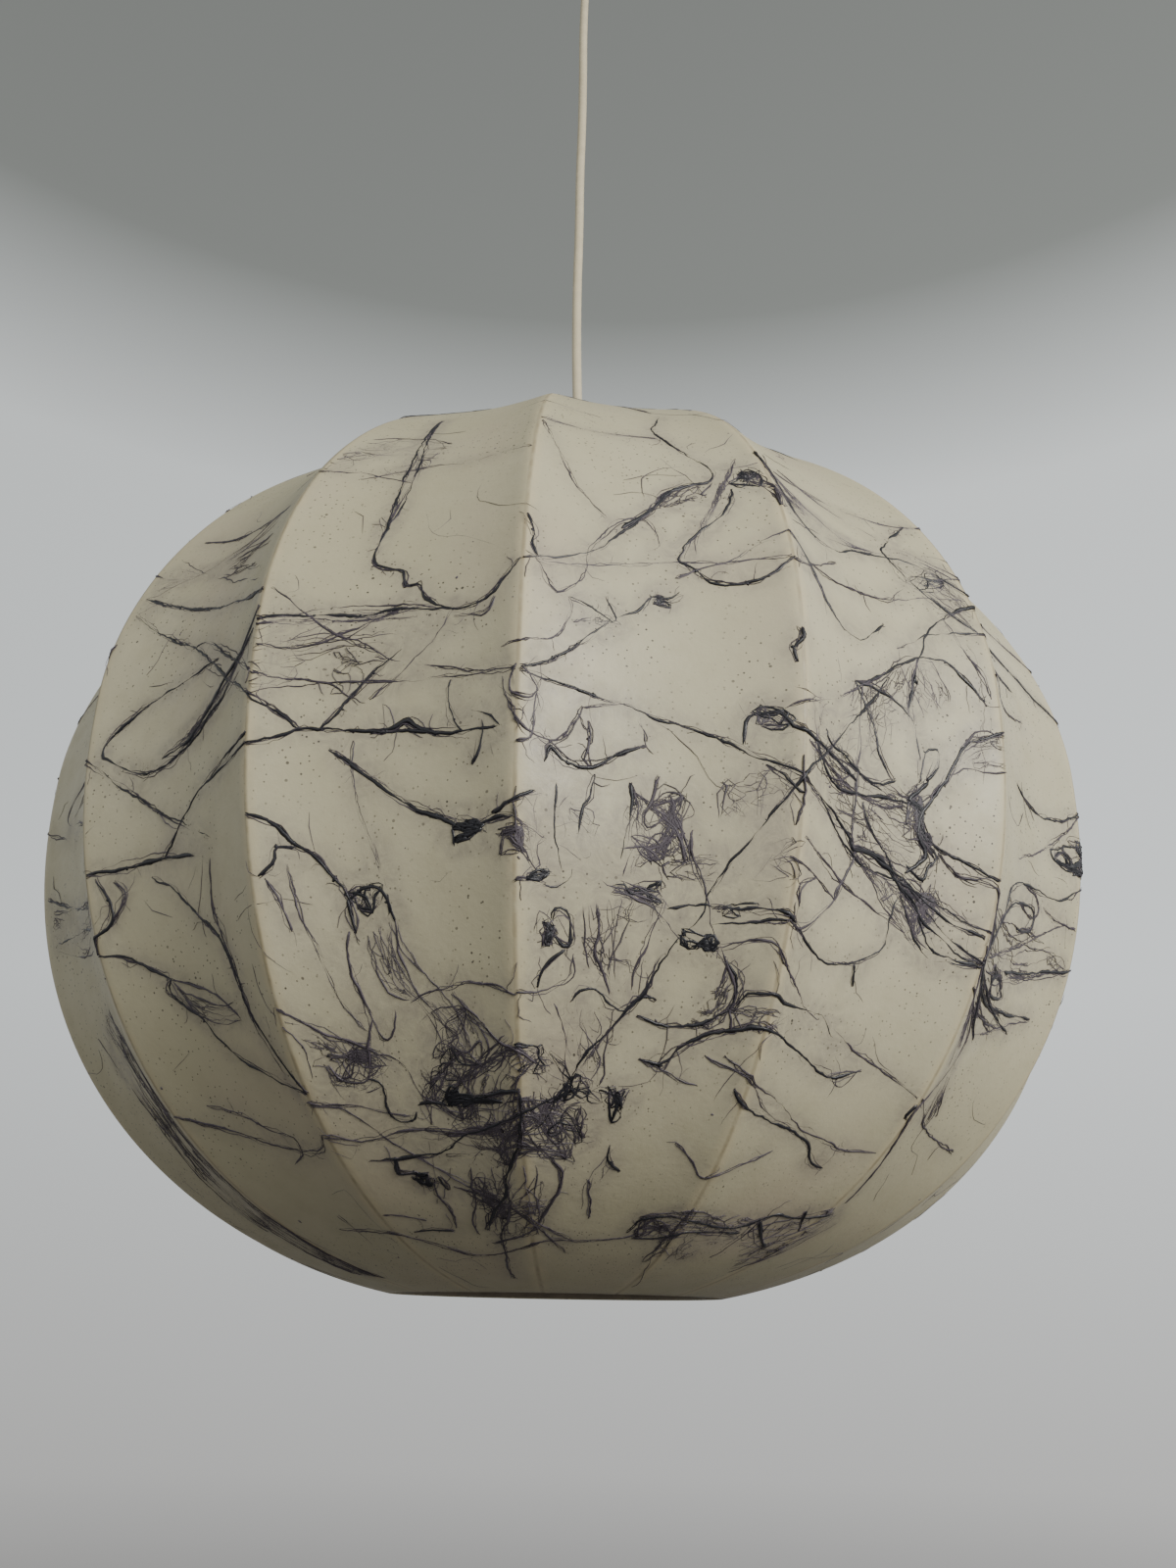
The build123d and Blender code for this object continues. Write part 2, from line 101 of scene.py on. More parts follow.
def meridian(t):
    """(radius, z) of the skin's outer face on a rib."""
    angle = BOTTOM_ANGLE + (TOP_ANGLE - BOTTOM_ANGLE) * t
    c, s = cos(angle), sin(angle)
    semi_axis, power = (RISE, UPPER_POWER) if s > 0 else (DROP, LOWER_POWER)
    scale = (c**power + abs(s) ** power) ** (-1 / power)
    return RADIUS * scale * c, EQUATOR_Z + (1 if s > 0 else -1) * semi_axis * scale * abs(s)


def film(a, t):
    """A point of the skin's outer face."""
    radius, z = meridian(t)
    share = PULL * max(0.0, 1 - abs(2 * t - 1) ** 3)
    rib = a // 1
    s = a - rib
    start = rib * PITCH - pi / 2
    control = radius * (2 * (1 - share) - cos(PITCH / 2))
    points = (
        (radius, start, (1 - s) ** 2),
        (control, start + PITCH / 2, 2 * s * (1 - s)),
        (radius, start + PITCH, s * s),
    )
    x = sum(r * cos(azimuth) * weight for r, azimuth, weight in points)
    y = sum(r * sin(azimuth) * weight for r, azimuth, weight in points)
    return Vector((x, y, z))


def film_normal(a, t):
    """The outward normal, from the film a little to each side."""
    across = film(a + 0.004, t) - film(a - 0.004, t)
    along = film(a, min(t + 0.002, 1.0)) - film(a, max(t - 0.002, 0.0))
    return across.cross(along).normalized()


def add_mesh(name, vertices, faces):
    mesh = bpy.data.meshes.new(name)
    mesh.from_pydata(vertices, [], faces)
    mesh.validate()
    mesh.polygons.foreach_set("use_smooth", [True] * len(mesh.polygons))
    obj = bpy.data.objects.new(name, mesh)
    bpy.context.collection.objects.link(obj)
    return obj


# ---------------------------------------------------------------- camera

CAMERA_DISTANCE = 2.323 * RADIUS
CAMERA_AZIMUTH = radians(4.05)
CAMERA_BELOW = 0.010  # under the shade's bottom edge
CAMERA_TURN, CAMERA_TILT, CAMERA_ROLL = radians(1.01), radians(24.52), radians(1.0)
camera_data = bpy.data.cameras.new("camera")
camera_data.sensor_width = 36
camera_data.lens = 27.05
camera = bpy.data.objects.new("camera", camera_data)
bpy.context.collection.objects.link(camera)
camera.matrix_world = (
    Matrix.Translation(
        (
            CAMERA_DISTANCE * sin(CAMERA_AZIMUTH),
            -CAMERA_DISTANCE * cos(CAMERA_AZIMUTH),
            skin_bottom - CAMERA_BELOW,
        )
    )
    @ Matrix.Rotation(CAMERA_AZIMUTH - CAMERA_TURN, 4, "Z")
    @ Matrix.Rotation(radians(90) + CAMERA_TILT, 4, "X")
    @ Matrix.Rotation(CAMERA_ROLL, 4, "Z")
)
bpy.context.scene.camera = camera

# ---------------------------------------------------------------- cord

CORD_DIAMETER = 0.006
grip_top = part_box("holder_cord_grip")[1][2]
PIVOT_Z = -0.065
cord_points = [
    (0.0, 0.0, grip_top - 0.016),
    (0.0, 0.0, grip_top + 0.004),
    (-0.0009, -0.0002, -0.540),
    (-0.0023, 0.0003, -0.498),
    (-0.0029, -0.0004, -0.446),
    (-0.0025, 0.0004, -0.392),
    (-0.0030, -0.0004, -0.338),
    (-0.0024, 0.0004, -0.285),
    (-0.0026, -0.0004, -0.234),
    (-0.0034, 0.0004, -0.185),
    (-0.0030, -0.0003, -0.139),
    (-0.0016, 0.0003, -0.097),
    (0.0, 0.0, PIVOT_Z),
]
cord_curve = bpy.data.curves.new("cord", "CURVE")
cord_curve.dimensions = "3D"
cord_curve.bevel_depth = CORD_DIAMETER / 2
cord_curve.bevel_resolution = 6
cord_curve.resolution_u = 16
cord_curve.use_fill_caps = True
cord_spline = cord_curve.splines.new("NURBS")
cord_spline.points.add(len(cord_points) - 1)
for point, place in zip(cord_spline.points, cord_points):
    point.co = (*place, 1.0)
cord_spline.order_u = 3
cord_spline.use_endpoint_u = True
cord = bpy.data.objects.new("cord", cord_curve)
bpy.context.collection.objects.link(cord)
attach(cord, "pendant")
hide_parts("supply_cord")

# ---------------------------------------------------------------- materials


class Recipe:
    """A material's node tree, one call per node."""

    def __init__(self, name):
        self.material = bpy.data.materials.new(name)
        self.material.use_nodes = True
        self.tree = self.material.node_tree
        self.shader = self.tree.nodes["Principled BSDF"]
        self.place = self.node("ShaderNodeTexCoord").outputs["Object"]

    def node(self, kind, **settings):
        made = self.tree.nodes.new(kind)
        for key, value in settings.items():
            setattr(made, key, value)
        return made

    def link(self, source, target):
        if isinstance(source, (int, float, tuple)):
            target.default_value = source
        else:
            self.tree.links.new(source, target)

    def noise(self, scale, detail=3.0, rough=0.5, stretch=None, distortion=0.0):
        made = self.node("ShaderNodeTexNoise")
        made.inputs["Scale"].default_value = scale
        made.inputs["Detail"].default_value = detail
        made.inputs["Roughness"].default_value = rough
        made.inputs["Distortion"].default_value = distortion
        place = self.place
        if stretch:
            mapping = self.node("ShaderNodeMapping")
            mapping.inputs["Scale"].default_value = stretch
            self.link(place, mapping.inputs["Vector"])
            place = mapping.outputs["Vector"]
        self.link(place, made.inputs["Vector"])
        return made.outputs["Fac"]

    def ramp(self, source, low, high, from_low=0.0, from_high=1.0):
        made = self.node("ShaderNodeMapRange")
        made.clamp = True
        made.inputs["From Min"].default_value = from_low
        made.inputs["From Max"].default_value = from_high
        made.inputs["To Min"].default_value = low
        made.inputs["To Max"].default_value = high
        self.link(source, made.inputs["Value"])
        return made.outputs["Result"]

    def mix(self, factor, first, second, blend="MIX"):
        made = self.node("ShaderNodeMix", data_type="RGBA", blend_type=blend)
        self.link(factor, made.inputs[0])
        for value, socket in ((first, made.inputs[6]), (second, made.inputs[7])):
            self.link((*value, 1.0) if isinstance(value, tuple) else value, socket)
        return made.outputs[2]

    def math(self, operation, first, second=0.0):
        made = self.node("ShaderNodeMath", operation=operation)
        self.link(first, made.inputs[0])
        self.link(second, made.inputs[1])
        return made.outputs[0]

    def bump(self, height, strength, distance):
        made = self.node("ShaderNodeBump")
        made.inputs["Strength"].default_value = strength
        made.inputs["Distance"].default_value = distance
        self.link(height, made.inputs["Height"])
        self.link(made.outputs["Normal"], self.shader.inputs["Normal"])
        return made.outputs["Normal"]


def plain_material(
    name,
    colour,
    spread=0.08,
    metallic=0.0,
    roughness=0.4,
    scale=60.0,
    bump=0.15,
    bump_scale=900.0,
    stretch=None,
    wear=None,
    **sockets,
):
    """A surface with slight colour and roughness variation, fine bump and grime in patches."""
    made = Recipe(name)
    patches = made.noise(scale, 4.0, 0.6, stretch)
    dark = tuple(c * (1 - spread) for c in colour)
    light = tuple(min(1.0, c * (1 + spread)) for c in colour)
    tone = made.mix(made.ramp(patches, 0.0, 1.0, 0.3, 0.7), dark, light)
    if wear:
        grime = made.ramp(made.noise(scale * 0.4, 6.0, 0.7), 0.0, 0.5, 0.55, 0.8)
        tone = made.mix(grime, tone, wear)
    made.link(tone, made.shader.inputs["Base Color"])
    made.link(
        made.ramp(patches, roughness * 0.8, min(1.0, roughness * 1.25), 0.3, 0.7),
        made.shader.inputs["Roughness"],
    )
    made.shader.inputs["Metallic"].default_value = metallic
    made.bump(made.noise(bump_scale, 2.0, 0.6, stretch), bump, 0.0002)
    for socket, value in sockets.items():
        made.shader.inputs[socket.replace("_", " ")].default_value = value
    return made.material


cord_material = plain_material(
    "cream_sheath", (0.56, 0.49, 0.34), 0.06, 0.0, 0.42, 90.0, 0.2, 700.0, wear=(0.40, 0.33, 0.21)
)
materials = {
    "cord": cord_material,
    "zinc": plain_material(
        "zinc_plate", (0.60, 0.61, 0.62), 0.1, 1.0, 0.34, 120.0, 0.2, 1500.0, wear=(0.40, 0.40, 0.38)
    ),
    "white_enamel": plain_material(
        "cup_enamel", (0.74, 0.72, 0.66), 0.03, 0.0, 0.28, 30.0, 0.12, 500.0, wear=(0.62, 0.59, 0.50)
    ),
    "white_plastic": plain_material(
        "moulded_plastic", (0.70, 0.67, 0.58), 0.04, 0.0, 0.4, 45.0, 0.15, 1400.0,
        wear=(0.58, 0.53, 0.42),
    ),
    "core_brown": plain_material("brown_core", (0.09, 0.03, 0.012), 0.1, 0.0, 0.42),
    "core_blue": plain_material("blue_core", (0.02, 0.07, 0.30), 0.1, 0.0, 0.42),
    "clear_plastic": plain_material(
        "milky_plastic", (0.72, 0.72, 0.68), 0.04, 0.0, 0.35, Subsurface_Weight=0.2
    ),
    "porcelain": plain_material("glazed_insulator", (0.76, 0.75, 0.70), 0.03, 0.0, 0.2),
    "brass": plain_material("contact_brass", (0.68, 0.48, 0.18), 0.12, 1.0, 0.3, 150.0),
    "nickel": plain_material("plated_cap", (0.66, 0.65, 0.61), 0.08, 1.0, 0.28, 150.0),
    "cream_wire": plain_material(
        "lacquered_wire", (0.55, 0.49, 0.34), 0.15, 0.0, 0.45, 70.0, 0.5, 500.0,
        wear=(0.30, 0.24, 0.14),
    ),
    "dark_wire": plain_material(
        "darkened_wire", (0.060, 0.052, 0.042), 0.35, 0.35, 0.5, 160.0, 0.5, 600.0,
        wear=(0.15, 0.12, 0.08),
    ),
    "bulb_glass": plain_material(
        "frosted_glass", (0.86, 0.85, 0.80), 0.02, 0.0, 0.3, 40.0, 0.1, 2000.0,
        Transmission_Weight=0.35, Subsurface_Weight=0.3,
    ),
    "black_glass": plain_material("vitrite", (0.012, 0.012, 0.015), 0.2, 0.0, 0.15),
}
cord.data.materials.append(cord_material)
for part in frame["record"]["subparts"]:
    if part["node"] in bpy.data.objects and part["material_slot"] in materials:
        for slot in bpy.data.objects[part["node"]].material_slots:
            slot.material = materials[part["material_slot"]]

# ---------------------------------------------------------------- fibres in the film

# Each strand: its width in millimetres, then the places it runs through.
STRANDS = [
    # front left panel, top
    (1.0, (0.02, 0.655), (0.06, 0.635), (0.16, 0.585), (0.24, 0.562), (0.31, 0.548)),
    (0.7, (0.01, 0.66), (0.15, 0.66), (0.3, 0.66), (0.5, 0.665), (0.58, 0.665)),
    (1.6, (0.68, 0.73), (0.6, 0.7), (0.57, 0.68), (0.6, 0.665), (0.68, 0.64), (0.77, 0.615),
     (0.75, 0.6), (0.63, 0.592), (0.55, 0.58), (0.48, 0.56), (0.37, 0.538), (0.27, 0.52),
     (0.18, 0.51), (0.05, 0.503), (0.0, 0.5)),
    (2.2, (0.72, 0.598), (0.6, 0.588), (0.55, 0.578), (0.48, 0.562), (0.37, 0.541)),
    (1.6, (-0.01, 0.5), (-0.08, 0.487), (-0.16, 0.478), (-0.27, 0.477), (-0.38, 0.488),
     (-0.42, 0.5), (-0.47, 0.5), (-0.49, 0.512), (-0.56, 0.516), (-0.61, 0.522), (-0.605, 0.54),
     (-0.595, 0.565), (-0.6, 0.61), (-0.62, 0.66), (-0.66, 0.73)),
    (1.4, (-0.6, 0.55), (-0.56, 0.575), (-0.56, 0.62), (-0.6, 0.67), (-0.65, 0.73)),
    (1.0, (0.05, 0.503), (0.11, 0.484), (0.15, 0.483), (0.22, 0.497), (0.25, 0.52),
     (0.29, 0.532), (0.35, 0.546), (0.43, 0.553), (0.48, 0.547), (0.51, 0.53), (0.47, 0.525)),
    (0.8, (0.05, 0.5), (0.17, 0.503), (0.35, 0.51), (0.56, 0.517), (0.72, 0.519), (0.99, 0.523)),
    (1.8, (0.83, 0.59), (0.79, 0.567), (0.67, 0.545), (0.6, 0.527), (0.58, 0.517),
     (0.64, 0.512), (0.71, 0.503), (0.82, 0.503), (0.9, 0.508), (1.0, 0.522)),
    (1.0, (0.56, 0.505), (0.66, 0.513), (0.77, 0.52), (0.88, 0.535), (1.0, 0.545)),
    (1.5, (0.01, 0.535), (0.03, 0.522), (0.03, 0.512), (0.05, 0.503)),
    (1.5, (0.01, 0.428), (0.12, 0.438), (0.24, 0.455), (0.34, 0.47), (0.41, 0.477),
     (0.47, 0.49), (0.53, 0.489), (0.58, 0.494)),
    (1.5, (0.17, 0.48), (0.27, 0.475), (0.34, 0.47), (0.31, 0.486)),
    (0.7, (-0.07, 0.443), (0.04, 0.446), (0.13, 0.452), (0.18, 0.47), (0.17, 0.48)),
    (0.9, (-0.01, 0.428), (-0.18, 0.433), (-0.37, 0.443), (-0.56, 0.452)),
    (0.8, (-0.01, 0.427), (-0.18, 0.43), (-0.37, 0.433), (-0.56, 0.436)),
    (1.1, (-0.01, 0.43), (-0.03, 0.421), (-0.02, 0.413), (0.04, 0.41), (0.07, 0.416),
     (0.04, 0.424), (0.01, 0.428)),
    (1.2, (0.07, 0.415), (0.06, 0.397), (0.05, 0.388), (0.0, 0.385)),
    (1.3, (-0.06, 0.424), (-0.05, 0.415), (-0.03, 0.405), (0.0, 0.397), (0.05, 0.391),
     (0.12, 0.388), (0.17, 0.393), (0.2, 0.402), (0.23, 0.412)),
    (2.6, (-0.56, 0.403), (-0.47, 0.406), (-0.42, 0.41), (-0.38, 0.404), (-0.31, 0.399),
     (-0.21, 0.397), (-0.13, 0.397), (-0.06, 0.395)),
    (1.5, (-0.26, 0.43), (-0.27, 0.418), (-0.24, 0.405), (-0.2, 0.397)),
    (2.0, (-0.14, 0.403), (-0.14, 0.388), (-0.17, 0.377)),
    (1.8, (-0.19, 0.408), (-0.1, 0.402), (-0.06, 0.396)),
    (2.0, (0.1, 0.376), (0.12, 0.386), (0.18, 0.378), (0.27, 0.378), (0.37, 0.387),
     (0.46, 0.393)),
    (1.3, (0.25, 0.404), (0.255, 0.393), (0.245, 0.382), (0.27, 0.378)),
    (0.7, (0.23, 0.411), (0.3, 0.415), (0.4, 0.416), (0.44, 0.405), (0.45, 0.396)),
    (1.2, (-0.27, 0.477), (-0.32, 0.462), (-0.39, 0.45), (-0.47, 0.438), (-0.57, 0.425)),
    (1.0, (-0.27, 0.472), (-0.14, 0.468), (-0.1, 0.478)),
    (0.7, (-0.01, 0.61), (-0.12, 0.615), (-0.3, 0.615), (-0.5, 0.62), (-0.8, 0.61)),
    # from the front rib to the right
    (1.4, (0.01, 0.427), (0.13, 0.424), (0.27, 0.42), (0.4, 0.415), (0.5, 0.41), (0.62, 0.405),
     (0.72, 0.4), (0.83, 0.39), (0.99, 0.38), (1.17, 0.362), (1.31, 0.345), (1.57, 0.338),
     (1.75, 0.33), (1.88, 0.322), (2.02, 0.318)),
    (1.2, (0.0, 0.344), (0.1, 0.336), (0.2, 0.33), (0.3, 0.318), (0.39, 0.312), (0.48, 0.308),
     (0.55, 0.298), (0.63, 0.288), (0.72, 0.285), (0.83, 0.288), (0.95, 0.288), (1.04, 0.275),
     (1.21, 0.256), (1.37, 0.25), (1.52, 0.24), (1.7, 0.23), (1.97, 0.215)),
    (1.5, (1.49, 0.468), (1.35, 0.44), (1.16, 0.405), (1.0, 0.378), (0.88, 0.354),
     (0.77, 0.33), (0.71, 0.315), (0.68, 0.302), (0.61, 0.288), (0.55, 0.275), (0.5, 0.26),
     (0.43, 0.247), (0.34, 0.232), (0.26, 0.216), (0.17, 0.195), (0.1, 0.18), (0.0, 0.17)),
    (1.3, (0.63, 0.348), (0.64, 0.334), (0.68, 0.32), (0.71, 0.306), (0.73, 0.295),
     (0.79, 0.28), (0.85, 0.262), (0.84, 0.25)),
    (1.8, (0.56, 0.304), (0.68, 0.308), (0.77, 0.306), (0.85, 0.305), (0.97, 0.304),
     (1.04, 0.3)),
    (1.4, (0.66, 0.294), (0.8, 0.298), (1.0, 0.299)),
    (1.5, (0.14, 0.294), (0.12, 0.288), (0.18, 0.281), (0.21, 0.283), (0.2, 0.296),
     (0.15, 0.299), (0.14, 0.294)),
    (1.6, (0.19, 0.279), (0.12, 0.27), (0.09, 0.262), (0.08, 0.257)),
    (0.9, (0.22, 0.277), (0.23, 0.268), (0.2, 0.262), (0.1, 0.256), (0.0, 0.253)),
    (1.0, (0.0, 0.252), (-0.08, 0.258), (-0.19, 0.261), (-0.27, 0.26), (-0.36, 0.258),
     (-0.46, 0.253)),
    (1.2, (-0.27, 0.257), (-0.21, 0.247), (-0.12, 0.233), (-0.04, 0.224), (0.02, 0.22),
     (0.08, 0.215)),
    (1.8, (-0.56, 0.316), (-0.5, 0.314), (-0.49, 0.303), (-0.48, 0.296)),
    (0.9, (-0.54, 0.342), (-0.51, 0.32), (-0.48, 0.298), (-0.47, 0.286), (-0.42, 0.274),
     (-0.35, 0.263), (-0.29, 0.252), (-0.24, 0.24), (-0.22, 0.22)),
    (1.6, (0.28, 0.374), (0.26, 0.362), (0.235, 0.353), (0.22, 0.338), (0.215, 0.326),
     (0.2, 0.318), (0.15, 0.312), (0.1, 0.311)),
    (0.8, (0.12, 0.312), (0.05, 0.313), (0.0, 0.311)),
    (1.6, (0.14, 0.366), (0.14, 0.353), (0.14, 0.34), (0.16, 0.328), (0.17, 0.318)),
    (1.0, (0.0, 0.335), (0.04, 0.326), (0.075, 0.319), (0.09, 0.321), (0.075, 0.331),
     (0.14, 0.338)),
    (1.0, (0.24, 0.336), (0.3, 0.341), (0.36, 0.336), (0.39, 0.335), (0.46, 0.338),
     (0.51, 0.331), (0.53, 0.328)),
    (1.5, (0.41, 0.372), (0.42, 0.36), (0.4, 0.347), (0.385, 0.328)),
    (1.1, (0.5, 0.377), (0.48, 0.363), (0.455, 0.354), (0.47, 0.348), (0.54, 0.356),
     (0.565, 0.361), (0.545, 0.367)),
    (1.3, (0.425, 0.366), (0.5, 0.358), (0.55, 0.352), (0.59, 0.344), (0.61, 0.33)),
    (1.4, (0.21, 0.251), (0.25, 0.258), (0.31, 0.259), (0.37, 0.252), (0.43, 0.249),
     (0.47, 0.255), (0.52, 0.257), (0.55, 0.255)),
    (1.6, (0.48, 0.246), (0.56, 0.242), (0.65, 0.242), (0.75, 0.243), (0.84, 0.253),
     (0.85, 0.267), (0.8, 0.277)),
    (2.2, (0.51, 0.222), (0.6, 0.219), (0.67, 0.228), (0.74, 0.235), (0.86, 0.24),
     (0.98, 0.241), (1.1, 0.238), (1.26, 0.23), (1.42, 0.223), (1.5, 0.222), (1.61, 0.228)),
    (1.2, (0.6, 0.217), (0.7, 0.21), (0.78, 0.208)),
    (1.2, (0.3, 0.305), (0.31, 0.29), (0.3, 0.28), (0.34, 0.268), (0.37, 0.257)),
    (1.0, (-0.65, 0.225), (-0.56, 0.222), (-0.5, 0.212), (-0.47, 0.195), (-0.46, 0.18)),
    # the black knot left of the front rib, and its tails
    (2.2, (-0.71, 0.395), (-0.57, 0.378), (-0.42, 0.36), (-0.31, 0.352), (-0.25, 0.347),
     (-0.18, 0.34), (-0.09, 0.345), (-0.01, 0.345)),
    (1.6, (0.07, 0.36), (0.0, 0.353), (-0.09, 0.348)),
    (2.0, (-0.24, 0.345), (-0.23, 0.334)),
    # right of the second rib
    (1.6, (1.0, 0.545), (1.08, 0.53), (1.15, 0.512), (1.17, 0.503), (1.24, 0.49),
     (1.29, 0.487), (1.37, 0.488), (1.5, 0.508)),
    (2.4, (1.0, 0.47), (1.01, 0.464), (0.96, 0.457), (0.975, 0.447)),
    (1.4, (1.3, 0.455), (1.4, 0.456), (1.51, 0.452), (1.59, 0.442), (1.61, 0.427),
     (1.62, 0.416)),
    (1.6, (1.3, 0.455), (1.35, 0.441), (1.4, 0.425), (1.42, 0.412), (1.49, 0.398)),
    (1.7, (1.34, 0.455), (1.46, 0.469), (1.57, 0.483), (1.66, 0.49), (1.78, 0.492),
     (1.85, 0.482), (1.93, 0.468), (1.94, 0.464)),
    (1.0, (0.93, 0.418), (1.06, 0.427), (1.19, 0.437), (1.33, 0.453), (1.49, 0.472)),
    (2.2, (0.79, 0.397), (0.8, 0.41), (0.83, 0.415), (0.91, 0.415), (0.98, 0.406),
     (1.13, 0.4), (1.3, 0.39)),
    (1.8, (1.12, 0.413), (1.16, 0.405), (1.24, 0.402), (1.33, 0.394), (1.43, 0.39)),
    (2.0, (2.0, 0.447), (1.9, 0.44), (1.83, 0.433), (1.77, 0.418), (1.73, 0.403)),
    (2.0, (1.62, 0.402), (1.64, 0.423), (1.7, 0.426), (1.7, 0.415), (1.65, 0.404)),
    (1.8, (1.0, 0.64), (1.05, 0.6), (1.1, 0.575), (1.2, 0.56), (1.35, 0.56), (1.45, 0.57),
     (1.6, 0.575), (1.75, 0.58), (1.9, 0.57), (2.0, 0.555)),
    (2.0, (1.9, 0.63), (1.72, 0.6), (1.65, 0.585), (1.7, 0.565), (1.8, 0.545), (1.9, 0.53),
     (1.97, 0.52)),
    (1.0, (1.0, 0.52), (1.1, 0.525), (1.3, 0.545)),
    (1.0, (1.05, 0.53), (1.2, 0.525), (1.35, 0.527), (1.5, 0.53), (1.8, 0.545), (1.97, 0.55)),
    (1.0, (1.82, 0.53), (1.87, 0.51), (1.94, 0.485), (1.96, 0.47)),
    (1.0, (2.0, 0.49), (2.3, 0.49), (2.6, 0.5)),
    (1.0, (2.0, 0.53), (2.2, 0.535), (2.5, 0.55)),
    (1.6, (0.87, 0.385), (0.93, 0.378), (1.0, 0.368)),
    (2.6, (1.66, 0.405), (1.57, 0.39), (1.63, 0.385), (1.62, 0.37), (1.66, 0.357),
     (1.57, 0.345)),
    (1.8, (1.77, 0.415), (1.68, 0.395), (1.62, 0.377), (1.7, 0.366), (1.79, 0.36),
     (1.9, 0.354), (2.0, 0.35)),
    (1.2, (1.02, 0.4), (1.2, 0.388), (1.4, 0.38), (1.55, 0.385)),
    (1.3, (1.29, 0.405), (1.3, 0.385), (1.29, 0.36), (1.31, 0.345), (1.24, 0.325),
     (1.22, 0.316), (1.09, 0.299), (1.0, 0.3)),
    (2.2, (1.28, 0.352), (1.42, 0.35), (1.53, 0.34), (1.64, 0.328), (1.69, 0.315),
     (1.77, 0.302), (1.86, 0.3), (2.0, 0.297)),
    (1.4, (1.57, 0.34), (1.72, 0.322), (1.88, 0.307), (2.0, 0.3)),
    (1.2, (1.6, 0.326), (1.68, 0.308), (1.8, 0.3), (1.98, 0.296)),
    (0.8, (0.97, 0.333), (1.1, 0.328), (1.24, 0.318)),
    (1.2, (1.03, 0.346), (1.23, 0.332), (1.4, 0.322), (1.53, 0.316), (1.62, 0.311)),
    (1.5, (1.0, 0.3), (1.07, 0.295), (1.2, 0.285), (1.32, 0.286), (1.42, 0.29), (1.52, 0.3),
     (1.53, 0.317), (1.56, 0.33)),
    (1.8, (1.4, 0.288), (1.42, 0.275)),
    (1.6, (0.86, 0.25), (0.9, 0.26), (0.99, 0.26), (1.09, 0.257), (1.29, 0.255),
     (1.38, 0.246), (1.45, 0.242)),
    (1.9, (0.94, 0.206), (1.0, 0.196), (1.17, 0.19), (1.32, 0.187), (1.5, 0.178),
     (1.6, 0.165), (1.7, 0.161)),
    (0.8, (0.78, 0.225), (0.98, 0.213), (1.14, 0.196), (1.37, 0.187)),
    (1.0, (0.86, 0.225), (1.04, 0.21), (1.18, 0.204), (1.38, 0.19), (1.57, 0.182),
     (1.77, 0.176), (1.95, 0.175)),
    # the right-hand side
    (2.4, (2.0, 0.3), (2.1, 0.29), (2.2, 0.272), (2.3, 0.262)),
    (2.0, (2.03, 0.295), (2.3, 0.285), (2.8, 0.29)),
    (1.5, (2.05, 0.31), (2.15, 0.325), (2.25, 0.34), (2.4, 0.355), (2.6, 0.36), (2.6, 0.345),
     (2.45, 0.34)),
    (1.0, (2.1, 0.308), (2.35, 0.32), (2.7, 0.345), (2.9, 0.36)),
    (2.0, (2.4, 0.31), (2.6, 0.315), (3.0, 0.33)),
    (2.0, (2.35, 0.305), (2.45, 0.295), (2.3, 0.29), (2.28, 0.3)),
    (1.2, (1.99, 0.285), (2.15, 0.27), (2.2, 0.255), (2.12, 0.232), (2.04, 0.215),
     (2.0, 0.2), (2.08, 0.165), (2.1, 0.135)),
    (1.1, (2.0, 0.214), (2.15, 0.208), (2.3, 0.2), (2.8, 0.19)),
    (3.0, (1.99, 0.21), (1.97, 0.2)),
    # the left-hand side
    (2.0, (-1.0, 0.48), (-0.92, 0.483), (-0.8, 0.483), (-0.63, 0.482), (-0.45, 0.483),
     (-0.27, 0.477)),
    (1.2, (-1.0, 0.476), (-0.86, 0.48), (-0.63, 0.478), (-0.4, 0.476)),
    (1.1, (-0.97, 0.503), (-0.85, 0.487), (-0.72, 0.47), (-0.6, 0.46), (-0.5, 0.45),
     (-0.43, 0.447)),
    (1.3, (-0.99, 0.463), (-0.9, 0.46), (-0.78, 0.463), (-0.7, 0.469), (-0.57, 0.478),
     (-0.45, 0.485)),
    (1.1, (-1.0, 0.444), (-0.9, 0.44), (-0.8, 0.439), (-0.6, 0.436), (-0.45, 0.434)),
    (1.5, (-0.44, 0.458), (-0.56, 0.442), (-0.67, 0.42), (-0.75, 0.407)),
    (1.7, (-1.0, 0.399), (-0.88, 0.404), (-0.81, 0.408), (-0.75, 0.408), (-0.62, 0.406),
     (-0.5, 0.404), (-0.4, 0.402), (-0.3, 0.399)),
    (2.0, (-1.95, 0.56), (-1.7, 0.54), (-1.38, 0.52), (-1.0, 0.502)),
    (1.8, (-1.95, 0.545), (-1.8, 0.525), (-1.66, 0.51), (-1.5, 0.495), (-1.37, 0.478),
     (-1.23, 0.458), (-1.0, 0.43), (-0.9, 0.418), (-0.81, 0.408)),
    (2.8, (-1.02, 0.475), (-1.08, 0.467), (-1.18, 0.46), (-1.25, 0.452), (-1.35, 0.437),
     (-1.45, 0.425), (-1.6, 0.42)),
    (1.9, (-1.0, 0.49), (-1.2, 0.447), (-1.28, 0.438), (-1.42, 0.425), (-1.55, 0.415),
     (-1.68, 0.413), (-1.8, 0.418), (-1.88, 0.427), (-1.92, 0.433), (-1.88, 0.445),
     (-1.72, 0.462), (-1.53, 0.47), (-1.37, 0.475), (-1.3, 0.475)),
    (1.5, (-1.5, 0.495), (-1.43, 0.495), (-1.3, 0.482), (-1.02, 0.447), (-0.94, 0.443)),
    (1.2, (-1.85, 0.62), (-1.6, 0.605), (-1.35, 0.6), (-1.1, 0.595)),
